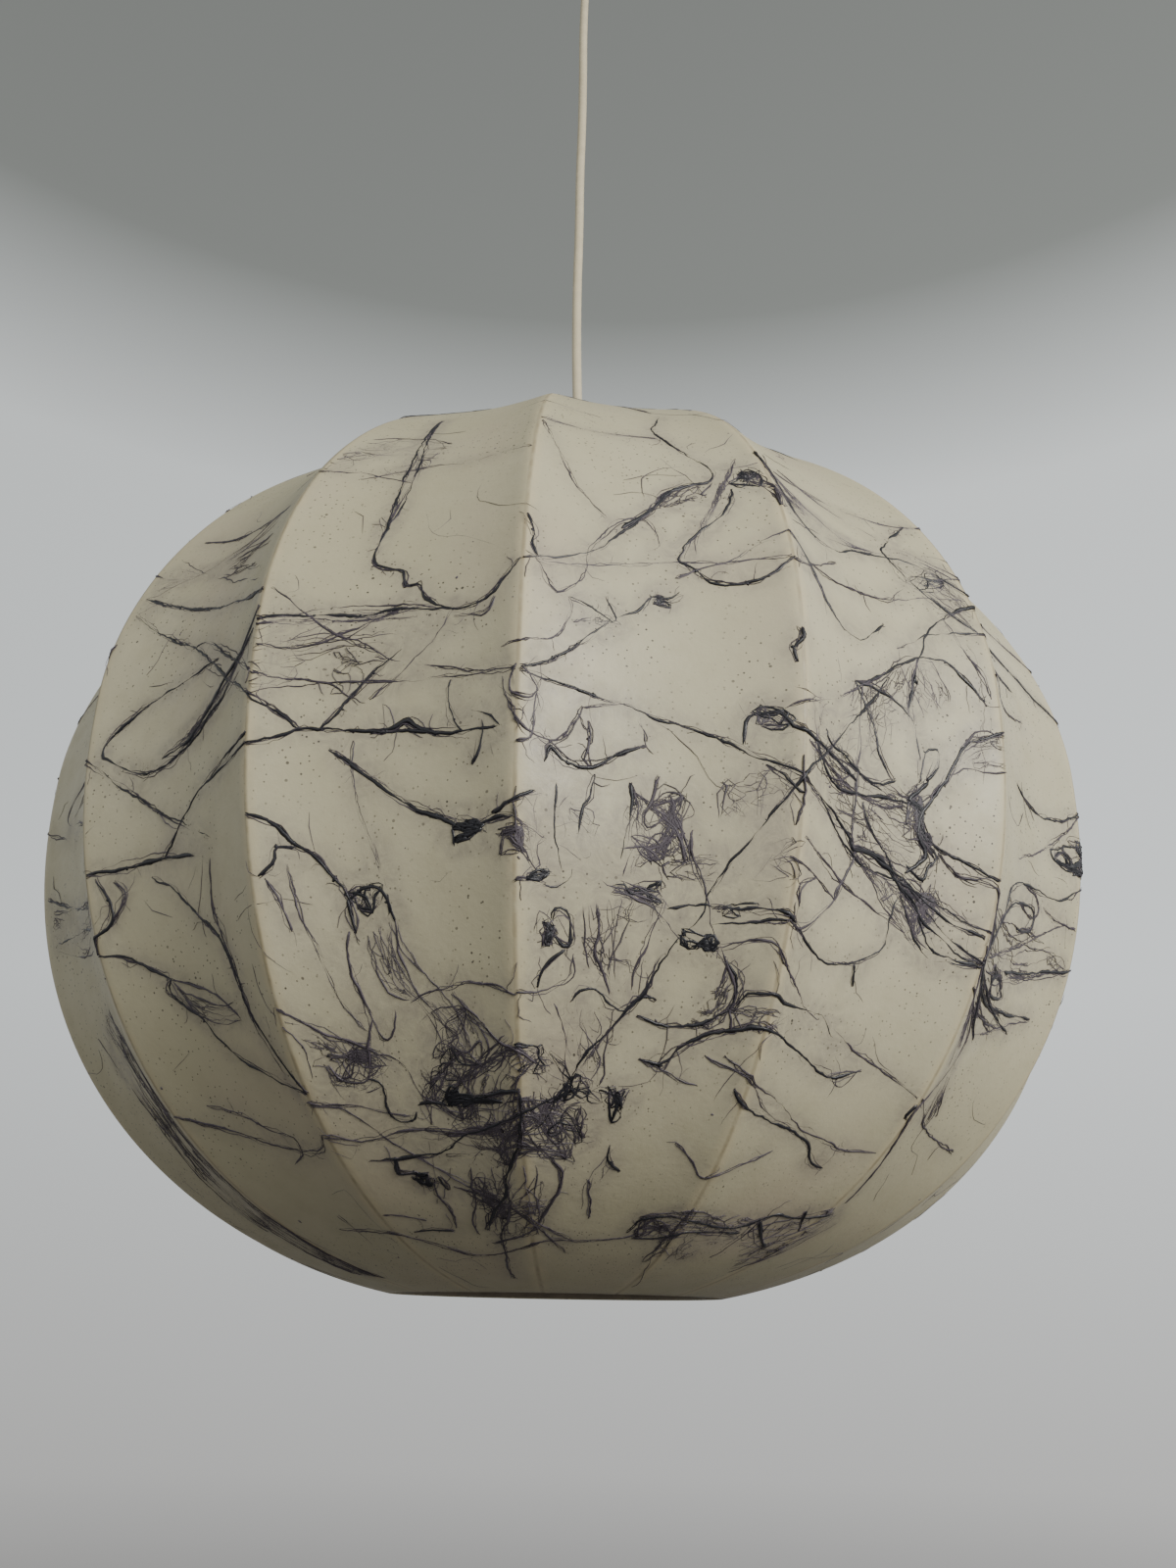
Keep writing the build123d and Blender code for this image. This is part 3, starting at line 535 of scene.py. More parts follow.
    (1.8, (-1.0, 0.4), (-1.33, 0.39), (-1.45, 0.375), (-1.56, 0.358), (-1.58, 0.354)),
    (1.4, (-1.0, 0.406), (-1.2, 0.398), (-1.36, 0.388)),
    (2.2, (-1.99, 0.353), (-1.79, 0.354), (-1.6, 0.355), (-1.38, 0.35)),
    (1.5, (-1.66, 0.345), (-1.54, 0.335), (-1.43, 0.318), (-1.3, 0.3), (-1.24, 0.28),
     (-1.21, 0.258), (-1.13, 0.232), (-1.0, 0.2)),
    (1.0, (-1.29, 0.345), (-1.3, 0.316), (-1.25, 0.29), (-1.2, 0.25), (-1.1, 0.213)),
    (1.8, (-1.95, 0.35), (-1.9, 0.336), (-1.9, 0.322), (-2.0, 0.313), (-2.0, 0.303)),
    (1.2, (-1.86, 0.347), (-1.81, 0.338), (-1.9, 0.32)),
    (1.6, (-2.0, 0.302), (-1.87, 0.3), (-1.74, 0.29), (-1.65, 0.283), (-1.67, 0.275),
     (-1.53, 0.255), (-1.45, 0.238), (-1.25, 0.218), (-1.0, 0.2)),
    (1.0, (-1.65, 0.283), (-1.42, 0.27), (-1.28, 0.252)),
    (1.8, (-1.0, 0.357), (-0.91, 0.353), (-0.84, 0.342), (-0.77, 0.334), (-0.7, 0.322),
     (-0.66, 0.313), (-0.64, 0.307)),
    (1.8, (-0.97, 0.323), (-0.92, 0.33), (-0.9, 0.34), (-0.83, 0.339)),
    (2.6, (-0.65, 0.311), (-0.65, 0.3), (-0.64, 0.292)),
    (2.2, (-0.65, 0.31), (-0.6, 0.316), (-0.54, 0.316), (-0.51, 0.308), (-0.51, 0.3)),
    (1.3, (-0.66, 0.293), (-0.68, 0.28), (-0.67, 0.265), (-0.62, 0.245), (-0.59, 0.233),
     (-0.54, 0.237), (-0.52, 0.25)),
    (1.2, (-0.95, 0.322), (-0.91, 0.312), (-0.88, 0.293)),
    (0.6, (-0.87, 0.33), (-0.83, 0.302), (-0.79, 0.278), (-0.74, 0.255), (-0.66, 0.238)),
    (0.6, (-0.62, 0.4), (-0.62, 0.375), (-0.56, 0.343), (-0.51, 0.315)),
    (1.3, (-1.0, 0.25), (-0.87, 0.24), (-0.78, 0.234), (-0.64, 0.226), (-0.57, 0.22)),
    (1.5, (-2.95, 0.38), (-2.6, 0.36), (-2.1, 0.34)),
    (1.5, (-2.9, 0.345), (-2.5, 0.34), (-2.1, 0.325)),
    (1.2, (-2.15, 0.47), (-2.5, 0.46), (-2.75, 0.445), (-2.75, 0.43), (-2.5, 0.42),
     (-2.3, 0.42), (-2.1, 0.425)),
    # low on the front
    (1.0, (-1.02, 0.193), (-0.85, 0.19), (-0.72, 0.172), (-0.62, 0.162), (-0.43, 0.143),
     (-0.15, 0.12), (0.08, 0.1), (0.3, 0.085)),
    (1.2, (-1.03, 0.195), (-0.77, 0.192), (-0.54, 0.186)),
    (1.2, (-1.03, 0.172), (-0.9, 0.17), (-0.78, 0.17), (-0.57, 0.177), (-0.25, 0.174),
     (-0.08, 0.18), (0.0, 0.183)),
    (1.8, (-0.85, 0.155), (-0.66, 0.157), (-0.5, 0.16), (-0.38, 0.165), (-0.27, 0.173),
     (-0.1, 0.18), (0.08, 0.19), (0.2, 0.2)),
    (2.2, (-0.7, 0.158), (-0.72, 0.145), (-0.63, 0.146), (-0.58, 0.141)),
    (2.0, (0.0, 0.2), (0.0, 0.18), (-0.04, 0.16), (-0.1, 0.142), (-0.14, 0.125),
     (-0.24, 0.11), (-0.31, 0.095)),
    (1.2, (-0.12, 0.142), (-0.11, 0.125), (-0.14, 0.107), (-0.22, 0.09), (-0.27, 0.03)),
    (1.3, (0.12, 0.157), (0.2, 0.143), (0.14, 0.12), (0.04, 0.102), (-0.06, 0.09),
     (-0.3, 0.08)),
    (0.9, (-1.5, 0.098), (-1.1, 0.092), (-0.8, 0.083), (-0.45, 0.065), (-0.1, 0.075),
     (0.15, 0.085), (0.4, 0.085), (0.65, 0.09), (0.87, 0.1)),
    (1.3, (-2.0, 0.197), (-1.7, 0.185), (-1.45, 0.172), (-1.25, 0.165), (-1.1, 0.165),
     (-1.04, 0.174)),
    (1.0, (-1.75, 0.203), (-1.55, 0.195), (-1.42, 0.183), (-1.27, 0.175), (-1.28, 0.163),
     (-1.4, 0.155)),
    (1.2, (-0.62, 0.245), (-0.66, 0.228), (-0.7, 0.21), (-0.78, 0.207), (-0.84, 0.21),
     (-0.86, 0.218)),
    (1.5, (-0.7, 0.21), (-0.64, 0.205), (-0.64, 0.193), (-0.62, 0.185), (-0.55, 0.183),
     (-0.51, 0.189)),
    (1.6, (0.65, 0.095), (0.72, 0.108), (0.85, 0.112), (1.02, 0.108), (1.2, 0.107),
     (1.42, 0.104), (1.6, 0.117), (1.66, 0.12), (1.85, 0.118), (2.1, 0.125)),
    (2.2, (1.56, 0.113), (1.72, 0.096), (1.85, 0.086)),
    (2.0, (1.83, 0.125), (1.95, 0.105)),
    (1.5, (0.7, 0.09), (0.87, 0.09), (1.1, 0.098), (1.5, 0.1)),
    (1.0, (0.75, 0.17), (0.87, 0.157), (0.97, 0.145), (1.18, 0.158), (1.32, 0.17)),
    (1.0, (0.35, 0.142), (0.37, 0.12), (0.38, 0.108)),
    (1.4, (0.43, 0.168), (0.45, 0.155), (0.51, 0.149)),
    # the crossing strands right of the second rib
    (2.2, (1.04, 0.374), (1.16, 0.367), (1.26, 0.358), (1.3, 0.35), (1.41, 0.35), (1.56, 0.341),
     (1.68, 0.33), (1.85, 0.32), (1.98, 0.315)),
    (1.8, (1.33, 0.379), (1.38, 0.366), (1.49, 0.35), (1.55, 0.337), (1.64, 0.325),
     (1.74, 0.315), (1.88, 0.303), (2.0, 0.3)),
    (1.6, (1.56, 0.335), (1.61, 0.32), (1.67, 0.308), (1.76, 0.297), (1.87, 0.298),
     (1.98, 0.297)),
    (1.5, (1.19, 0.405), (1.28, 0.398), (1.38, 0.393), (1.45, 0.395), (1.5, 0.4)),
    (1.8, (1.06, 0.402), (1.16, 0.384), (1.28, 0.381), (1.43, 0.386), (1.57, 0.387),
     (1.65, 0.383)),
    (1.4, (1.63, 0.37), (1.71, 0.358), (1.68, 0.353), (1.66, 0.343), (1.6, 0.347),
     (1.57, 0.35)),
    (1.3, (1.72, 0.361), (1.81, 0.35), (1.93, 0.348), (2.0, 0.342), (2.03, 0.327),
     (2.03, 0.313), (2.0, 0.3)),
    (1.2, (1.04, 0.308), (1.04, 0.318), (1.12, 0.327)),
    # the right edge
    (2.2, (2.04, 0.33), (2.06, 0.315), (2.02, 0.3), (2.2, 0.292), (2.45, 0.283), (2.65, 0.275)),
    (1.2, (2.5, 0.372), (2.62, 0.37), (2.66, 0.36), (2.6, 0.353), (2.45, 0.358)),
    (1.4, (2.25, 0.34), (2.3, 0.36), (2.5, 0.372), (2.75, 0.375), (2.9, 0.38), (3.0, 0.39)),
    (1.2, (2.7, 0.365), (2.85, 0.36), (2.98, 0.36)),
    # low on the front left panel
    (2.0, (-0.5, 0.193), (-0.42, 0.195), (-0.36, 0.193)),
    (2.2, (-0.29, 0.191), (-0.16, 0.197), (0.0, 0.197)),
    (2.0, (-0.5, 0.143), (-0.48, 0.138), (-0.47, 0.132)),
    (1.6, (-0.85, 0.093), (-0.7, 0.095), (-0.55, 0.094)),
    (0.8, (-0.97, 0.11), (-0.85, 0.109), (-0.7, 0.105)),
    (1.0, (-0.53, 0.142), (-0.55, 0.128), (-0.5, 0.113), (-0.53, 0.097)),
    (0.8, (-0.43, 0.135), (-0.16, 0.12), (0.02, 0.1), (0.25, 0.07)),
]
# Each tangle: its middle, its half width and height, how many threads, and their width.
TANGLES = [
    (-0.20, 0.205, 0.22, 0.026, 22, 1.0),
    (-0.22, 0.195, 0.14, 0.006, 8, 1.8),
    (-0.05, 0.175, 0.26, 0.024, 22, 0.9),
    (-0.10, 0.125, 0.20, 0.022, 14, 0.7),
    (0.05, 0.218, 0.08, 0.010, 10, 1.2),
    (0.25, 0.205, 0.14, 0.018, 20, 1.2),
    (0.22, 0.180, 0.10, 0.016, 12, 1.0),
    (0.42, 0.187, 0.07, 0.016, 12, 1.5),
    (-0.17, 0.342, 0.07, 0.005, 16, 2.4),
    (-0.02, 0.333, 0.05, 0.008, 8, 0.9),
    (0.68, 0.289, 0.07, 0.006, 16, 2.4),
    (0.80, 0.303, 0.09, 0.006, 10, 1.2),
    (0.12, 0.288, 0.04, 0.008, 8, 1.3),
    (0.50, 0.348, 0.12, 0.018, 14, 0.9),
    (0.20, 0.335, 0.10, 0.018, 12, 1.0),
    (0.08, 0.315, 0.05, 0.004, 6, 1.8),
    (-0.75, 0.215, 0.14, 0.012, 12, 0.9),
    (-0.60, 0.140, 0.05, 0.005, 6, 1.8),
    (0.45, 0.313, 0.10, 0.008, 10, 1.1),
    (0.28, 0.472, 0.09, 0.009, 10, 1.0),
    (0.52, 0.487, 0.05, 0.005, 6, 1.2),
    (1.63, 0.375, 0.08, 0.020, 9, 1.1),
    (1.60, 0.325, 0.16, 0.022, 12, 0.9),
    (0.88, 0.412, 0.08, 0.008, 8, 1.4),
    (-0.58, 0.308, 0.07, 0.010, 8, 1.3),
    (-0.35, 0.235, 0.14, 0.018, 10, 0.8),
    (2.35, 0.300, 0.10, 0.010, 8, 1.4),
    (0.85, 0.100, 0.16, 0.010, 10, 0.9),
    (-0.30, 0.168, 0.20, 0.010, 12, 0.9),
    (0.93, 0.590, 0.10, 0.020, 12, 1.2),
    (1.78, 0.565, 0.14, 0.018, 10, 1.2),
]
# Each veil: a patch of fine threads drawn from one line of places to another.
VEILS = [
    ((-0.27, 0.477), (-0.6, 0.42), (-1.0, 0.48), (-1.0, 0.43), 26),
    ((0.84, 0.25), (0.80, 0.28), (0.70, 0.245), (0.76, 0.262), 22),
    ((0.86, 0.25), (1.38, 0.247), (0.86, 0.238), (1.10, 0.238), 26),
    ((1.28, 0.352), (1.60, 0.33), (1.70, 0.30), (2.0, 0.298), 34),
    ((1.02, 0.40), (1.28, 0.352), (1.60, 0.39), (1.62, 0.345), 36),
    ((1.34, 0.455), (1.66, 0.49), (1.30, 0.40), (1.60, 0.44), 22),
    ((1.83, 0.433), (1.70, 0.40), (2.0, 0.447), (2.0, 0.42), 16),
    ((1.10, 0.428), (1.05, 0.40), (1.32, 0.452), (1.30, 0.39), 26),
    ((0.73, 0.355), (1.0, 0.35), (0.72, 0.375), (1.0, 0.39), 26),
    ((0.55, 0.33), (1.0, 0.345), (0.55, 0.32), (1.0, 0.322), 18),
    ((0.55, 0.58), (0.77, 0.60), (0.50, 0.565), (0.72, 0.585), 14),
    ((0.83, 0.60), (0.60, 0.52), (0.88, 0.62), (0.64, 0.525), 18),
    ((1.0, 0.62), (1.05, 0.56), (1.45, 0.57), (1.60, 0.58), 26),
    ((1.65, 0.59), (1.70, 0.56), (1.97, 0.57), (1.97, 0.52), 28),
    ((-1.95, 0.56), (-1.9, 0.60), (-1.2, 0.60), (-1.1, 0.52), 22),
    ((-0.45, 0.66), (-0.55, 0.60), (-0.9, 0.68), (-1.0, 0.62), 20),
    ((-1.02, 0.475), (-1.1, 0.45), (-1.45, 0.43), (-1.60, 0.42), 20),
    ((-1.65, 0.283), (-1.60, 0.268), (-1.30, 0.262), (-1.28, 0.25), 12),
    ((-2.9, 0.37), (-2.9, 0.34), (-2.05, 0.36), (-2.1, 0.32), 20),
    ((-2.7, 0.27), (-2.35, 0.28), (-2.45, 0.19), (-2.05, 0.2), 34),
    ((-2.5, 0.2), (-2.08, 0.21), (-2.5, 0.1), (-2.02, 0.11), 40),
    ((-2.4, 0.12), (-2.02, 0.12), (-2.3, 0.04), (-1.9, 0.03), 30),
    ((2.0, 0.13), (2.3, 0.12), (1.5, 0.1), (1.9, 0.05), 34),
    ((1.0, 0.12), (1.6, 0.115), (0.9, 0.06), (1.5, 0.07), 26),
    ((2.0, 0.3), (2.1, 0.27), (2.2, 0.2), (2.35, 0.21), 26),
    ((-1.0, 0.24), (-0.6, 0.225), (-0.95, 0.21), (-0.7, 0.2), 18),
    ((-0.42, 0.255), (-0.25, 0.25), (-0.45, 0.19), (-0.2, 0.21), 30),
    ((-0.05, 0.23), (0.10, 0.22), (-0.30, 0.18), (0.0, 0.17), 30),
    ((-0.6, 0.29), (-0.5, 0.30), (-0.45, 0.255), (-0.35, 0.25), 20),
    ((0.15, 0.25), (0.40, 0.25), (0.20, 0.21), (0.35, 0.205), 20),
    ((0.25, 0.31), (0.55, 0.31), (0.28, 0.27), (0.45, 0.26), 18),
    ((0.42, 0.37), (0.55, 0.36), (0.38, 0.32), (0.62, 0.33), 18),
    ((0.0, 0.36), (0.22, 0.36), (0.05, 0.32), (0.20, 0.31), 14),
    ((2.0, 0.34), (2.1, 0.30), (2.6, 0.35), (3.0, 0.33), 22),
    ((2.0, 0.31), (2.1, 0.28), (2.3, 0.26), (2.8, 0.29), 16),
    ((0.7, 0.11), (0.9, 0.085), (1.3, 0.11), (1.5, 0.095), 20),
    ((-0.30, 0.15), (0.05, 0.15), (-0.40, 0.09), (0.05, 0.09), 18),
]


def spline_places(places, step):
    """Places about every step metres along a smooth line through the given ones."""
    ends = [places[0], *places, places[-1]]
    made = []
    for i in range(1, len(ends) - 2):
        p0, p1, p2, p3 = (Vector(ends[j]) for j in range(i - 1, i + 3))
        length = (film(*p1) - film(*p2)).length
        count = max(1, round(length / step))
        for j in range(count):
            u = j / count
            made.append(
                0.5
                * (
                    2 * p1
                    + (p2 - p0) * u
                    + (2 * p0 - 5 * p1 + 4 * p2 - p3) * u * u
                    + (3 * p1 - p0 - 3 * p2 + p3) * u**3
                )
            )
    made.append(Vector(places[-1]))
    return made


LARGEST_CLOT = 3.0  # millimetres across


class Threads:
    """Thin strands that lie in the film, gathered in one mesh."""

    def __init__(self):
        self.vertices = []
        self.faces = []
        self.points = []

    def draw(self, places, width, dice, step=0.0025, wander=0.4, through=True, ends=0.25):
        """One strand. Its width is in millimetres, and it wanders a little off its places."""
        line = spline_places(places, step)
        offset = dice.uniform(0, 100)
        count = len(line)
        if count < 3:
            return
        first = len(self.vertices)
        sides = 4 if through else 3
        for i, place in enumerate(line):
            t = min(max(place.y, 0.003), 0.997)
            a = place.x
            here = film(a, t)
            ahead = line[min(i + 1, count - 1)]
            behind = line[max(i - 1, 0)]
            run = film(ahead.x, min(max(ahead.y, 0), 1)) - film(behind.x, min(max(behind.y, 0), 1))
            normal = film_normal(a, t)
            side = run.cross(normal)
            if side.length < 1e-9:
                side = normal.orthogonal()
            side.normalize()
            share = i / (count - 1)
            taper = min(1.0, ends + (1 - ends) * min(share, 1 - share) * 14)
            along = i * step
            uneven = 0.85 + 0.9 * noise.noise(Vector((offset, along * 110, 0)))
            uneven += 0.35 * noise.noise(Vector((offset, along * 420, 9)))
            half = 0.5 * MM * width * taper * max(0.35, uneven)
            sway = 2 * noise.noise(Vector((offset + 7, along * 90, 3)))
            sway += 1.1 * noise.noise(Vector((offset + 7, along * 330, 5)))
            centre = here + side * sway * wander * MM
            if i % 2 == 0:
                self.points.append((centre, width))
            rise = min(half * 0.7, 0.0005)
            self.vertices.append(centre - side * half - normal * 0.00005)
            self.vertices.append(centre + normal * rise)
            self.vertices.append(centre + side * half - normal * 0.00005)
            if through:
                self.vertices.append(centre - normal * (0.0008 + rise))
        for i in range(count - 1):
            low = first + i * sides
            for j in range(sides):
                k = (j + 1) % sides
                self.faces.append((low + j, low + k, low + sides + k, low + sides + j))
        last = first + (count - 1) * sides
        self.faces.append(tuple(range(first + sides - 1, first - 1, -1)))
        self.faces.append(tuple(range(last, last + sides)))

    def blob(self, a, t, size, dice):
        """A ragged clot of resin that follows the film, size in millimetres across."""
        t = min(max(t, 0.01), 0.99)
        normal = film_normal(a, t)
        across = meridian(t)[0] * PITCH
        corners = 10
        first = len(self.vertices)
        stretch = dice.uniform(1.0, 1.6)
        turn = dice.uniform(0, pi)
        reach = 0.5 * MM * min(size, LARGEST_CLOT)
        for i in range(corners):
            angle = 2 * pi * i / corners
            far = reach * dice.uniform(0.55, 1.15)
            x, y = far * stretch * cos(angle), far * sin(angle)
            aside, along = x * cos(turn) - y * sin(turn), x * sin(turn) + y * cos(turn)
            self.vertices.append(film(a + aside / across, t + along / ARC) - normal * 0.0001)
        self.vertices.append(film(a, t) + normal * min(0.0007, 0.35 * reach))
        self.vertices.append(film(a, t) - normal * 0.0012)
        for i in range(corners):
            k = first + (i + 1) % corners
            self.faces.append((first + i, k, first + corners))
            self.faces.append((k, first + i, first + corners + 1))
        self.points.append((film(a, t), size))

    def make(self, name, material):
        obj = add_mesh(name, self.vertices, self.faces)
        obj.data.materials.append(material)
        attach(obj, "pendant")
        return obj


dice = random.Random(7)
thick = Threads()
thin = Threads()
web = Threads()


def shifted(places, reach):
    """The same places, each moved by up to reach metres."""
    moved = []
    for a, t in places:
        across = meridian(min(max(t, 0.02), 0.98))[0] * PITCH
        moved.append((a + dice.gauss(0, 0.5) * reach / across, t + dice.gauss(0, 0.5) * reach / ARC))
    return moved


HAIR_SPREAD = 0.17  # metres that a hair counts as one panel across
CORE_SHARE = 0.75  # of a strand's width is its darkest thread, and finer ones run beside it


def strand(width, places):
    """A strand with the fine threads that run beside it, its stray hairs and its clots."""
    gather = thick if width >= 1.35 else thin
    gather.draw(places, width * CORE_SHARE, dice, 0.0018, 0.6)
    inner = places[1:-1]
    for k in range(2 if width < 1.2 else 3 if width < 1.9 else 5):
        beside = [places[0], *shifted(inner, 0.0005 + 0.0008 * width), places[-1]]
        beside_gather = thin if k % 2 == 0 else web
        beside_gather.draw(beside, dice.uniform(0.3, 0.55), dice, 0.002, 0.8, False, 0.6)
    for _ in range(round(len(places) * 0.45 * min(width, 1.6))):
        share = dice.uniform(0, len(places) - 1.01)
        low = Vector(places[int(share)])
        here = low.lerp(Vector(places[int(share) + 1]), share % 1)
        heading = dice.uniform(0, 2 * pi)
        reach = dice.uniform(0.002, 0.008)
        hair = [tuple(here)]
        for _ in range(2):
            heading += dice.gauss(0, 0.7)
            here = here + Vector((cos(heading) * reach / HAIR_SPREAD, sin(heading) * reach / ARC))
            hair.append(tuple(here))
        web.draw(hair, dice.uniform(0.2, 0.4), dice, 0.0015, 0.9, False)
    for a, t in inner:
        if dice.random() < 0.4:
            gather.blob(a, t, width * dice.uniform(0.7, 1.3), dice)


def tangle(a, t, wide, high, count, width):
    """Threads strung crookedly between shared knots, round one place."""
    knots = [
        (a + dice.uniform(-1, 1) * wide, t + dice.uniform(-1, 1) * high)
        for _ in range(count // 2 + 4)
    ]
    for _ in range(round(count * 1.7)):
        here = dice.choice(knots)
        places = [here]
        for _ in range(dice.randint(2, 5)):
            near = sorted(knots, key=lambda k: hypot((k[0] - here[0]) / wide, (k[1] - here[1]) / high))
            after = near[dice.randint(1, min(5, len(near) - 1))]
            middle = ((here[0] + after[0]) / 2, (here[1] + after[1]) / 2)
            places.append((middle[0] + dice.gauss(0, 0.18) * wide, middle[1] + dice.gauss(0, 0.18) * high))
            places.append(after)
            here = after
        size = width * dice.uniform(0.25, 0.8)
        gather = thick if size >= 0.75 else thin
        gather.draw(places, size, dice, step=0.0018, wander=0.7, ends=0.5)
        if dice.random() < 0.4:
            web.draw(shifted(places, 0.003), dice.uniform(0.25, 0.5), dice, 0.003, 0.8, False)
    for a, t in knots:
        if dice.random() < 0.45:
            thick.blob(a, t, width * dice.uniform(0.6, 1.3), dice)


def veil(corner_a, corner_b, corner_c, corner_d, count):
    """A torn membrane from the line a-b to the line c-d: two edges, a net of threads, some across."""
    corners = [Vector(corner) for corner in (corner_a, corner_b, corner_c, corner_d)]
    sag = Vector((dice.gauss(0, 0.03), dice.gauss(0, 0.008)))

    def inside(u, v):
        flat = corners[0].lerp(corners[1], u).lerp(corners[2].lerp(corners[3], u), v)
        return tuple(flat + sag * sin(pi * v))

    for edge in (0.0, 1.0):
        line = [inside(min(1.0, max(0.0, edge + dice.gauss(0, 0.06))), v / 4) for v in range(5)]
        thin.draw(line, dice.uniform(0.5, 0.9), dice, 0.0025, 0.8)
    knots = [(dice.random(), dice.random()) for _ in range(round(count * 1.4))]
    for u, v in knots:
        near = sorted(knots, key=lambda k: hypot(k[0] - u, k[1] - v))[1:5]
        for next_u, next_v in dice.sample(near, 2):
            middle_u = (u + next_u) / 2 + dice.gauss(0, 0.05)
            middle_v = (v + next_v) / 2 + dice.gauss(0, 0.05)
            line = [inside(u, v), inside(middle_u, middle_v), inside(next_u, next_v)]
            web.draw(line, dice.uniform(0.18, 0.42), dice, 0.002, 0.9, False, 0.6)
    for _ in range(count // 3):
        u = dice.random()
        line = [inside(min(1.0, max(0.0, u + dice.gauss(0, 0.07))), v / 4) for v in range(5)]
        web.draw(line, dice.uniform(0.25, 0.5), dice, 0.0025, 1.0, False)


for width, *places in STRANDS:
    strand(width, places)
for entry in TANGLES:
    tangle(*entry)
for entry in VEILS:
    veil(*entry)


def roam(a, t, length, width, heading, curl):
    """A strand that wanders over the film: mostly across the panels, now and then in a loop."""
    places = [(a, t)]
    walked = 0.0
    turn = 0.0
    while walked < length:
        turn += dice.gauss(0, curl)
        turn *= 0.8
        heading += turn
        step = dice.uniform(0.012, 0.022)
        radius = meridian(min(max(t, 0.02), 0.98))[0]
        a += cos(heading) * step / (radius * PITCH)
        t += sin(heading) * step / ARC
        if not 0.03 < t < 0.94:
            heading = -heading
            t = min(max(t, 0.04), 0.93)
        places.append((a, t))
        walked += step
    strand(width, places)
    return places


# The sides and the back carry the same kind of pattern, drawn at random.
FIRST_BACK, LAST_BACK = 2.9, RIBS - 2.95
for _ in range(62):
    a = dice.uniform(FIRST_BACK, LAST_BACK)
    t = dice.betavariate(1.7, 1.7) * 0.8 + 0.07
    heading = dice.choice((0, pi)) + dice.gauss(0, 0.7)
    width = dice.choice((0.8, 1.0, 1.2, 1.5, 1.8, 2.2))
    places = roam(a, t, dice.uniform(0.06, 0.22), width, heading, 0.22)
    if dice.random() < 0.35:
        end_a, end_t = places[-1]
        roam(end_a, end_t, dice.uniform(0.03, 0.09), width * 0.8, heading + 2, 0.5)
    if dice.random() < 0.5:
        first = dice.choice(places)
        second = (first[0] + dice.gauss(0, 0.35), first[1] + dice.gauss(0, 0.04))
        reach = Vector((dice.gauss(0, 0.2), dice.gauss(0, 0.04)))
        veil(
            first,
            tuple(Vector(first) + reach),
            second,
            tuple(Vector(second) + reach),
            dice.randint(10, 26),
        )
for _ in range(20):
    tangle(
        dice.uniform(FIRST_BACK, LAST_BACK),
        dice.uniform(0.12, 0.62),
        dice.uniform(0.06, 0.16),
        dice.uniform(0.008, 0.022),
        dice.randint(6, 18),
        dice.uniform(0.9, 1.8),
    )
# More strands near the two edges of the front.
for side_middle in (2.45, -2.35):
    for _ in range(7):
        a, t = side_middle + dice.uniform(-0.45, 0.45), dice.uniform(0.38, 0.72)
        heading = dice.choice((0, pi)) + dice.gauss(0, 0.5)
        roam(a, t, dice.uniform(0.06, 0.14), dice.choice((0.8, 1.0, 1.4)), heading, 0.15)
# And round the top, out of the photo's sight.
for _ in range(26):
    a, t = dice.uniform(0, RIBS), dice.uniform(0.76, 0.91)
    heading = dice.choice((0, pi)) + dice.gauss(0, 0.4)
    roam(a, t, dice.uniform(0.05, 0.13), dice.choice((0.8, 1.0, 1.4, 1.8)), heading, 0.15)
# Fine stray threads everywhere.
for _ in range(300):
    a = dice.uniform(0, RIBS)
    t = dice.uniform(0.03, 0.93)
    heading = dice.uniform(0, 2 * pi)
    reach = dice.uniform(0.01, 0.05)
    places = [(a, t)]
    for _ in range(3):
        heading += dice.gauss(0, 0.5)
        a += cos(heading) * reach / 3 / PANEL
        t += sin(heading) * reach / 3 / ARC
        places.append((a, min(max(t, 0.01), 0.96)))
    web.draw(places, dice.uniform(0.2, 0.45), dice, 0.004, 0.8, False)
for _ in range(260):
    web.blob(dice.uniform(0, RIBS), dice.uniform(0.03, 0.95), dice.uniform(0.6, 1.5), dice)

fibre_black = plain_material(
    "black_fibre", (0.012, 0.012, 0.016), 0.4, 0.0, 0.42, 200.0, 0.5, 1500.0,
    wear=(0.050, 0.044, 0.056),
)
fibre_grey = plain_material(
    "grey_fibre", (0.058, 0.047, 0.058), 0.45, 0.0, 0.5, 160.0, 0.4, 1500.0,
    wear=(0.14, 0.115, 0.14),
)
fibre_web = plain_material(
    "web_fibre", (0.105, 0.090, 0.100), 0.4, 0.0, 0.55, 120.0, 0.3, 1500.0,
    wear=(0.19, 0.16, 0.165),
)
thick.make("fibres_thick", fibre_black)
thin.make("fibres_thin", fibre_grey)
web.make("fibres_web", fibre_web)

# ---------------------------------------------------------------- the skin

fibre_tree = kdtree.KDTree(len(thick.points) + len(thin.points) + len(web.points))
for i, (point, width) in enumerate(thick.points + thin.points + web.points):
    fibre_tree.insert(point, i)
fibre_tree.balance()

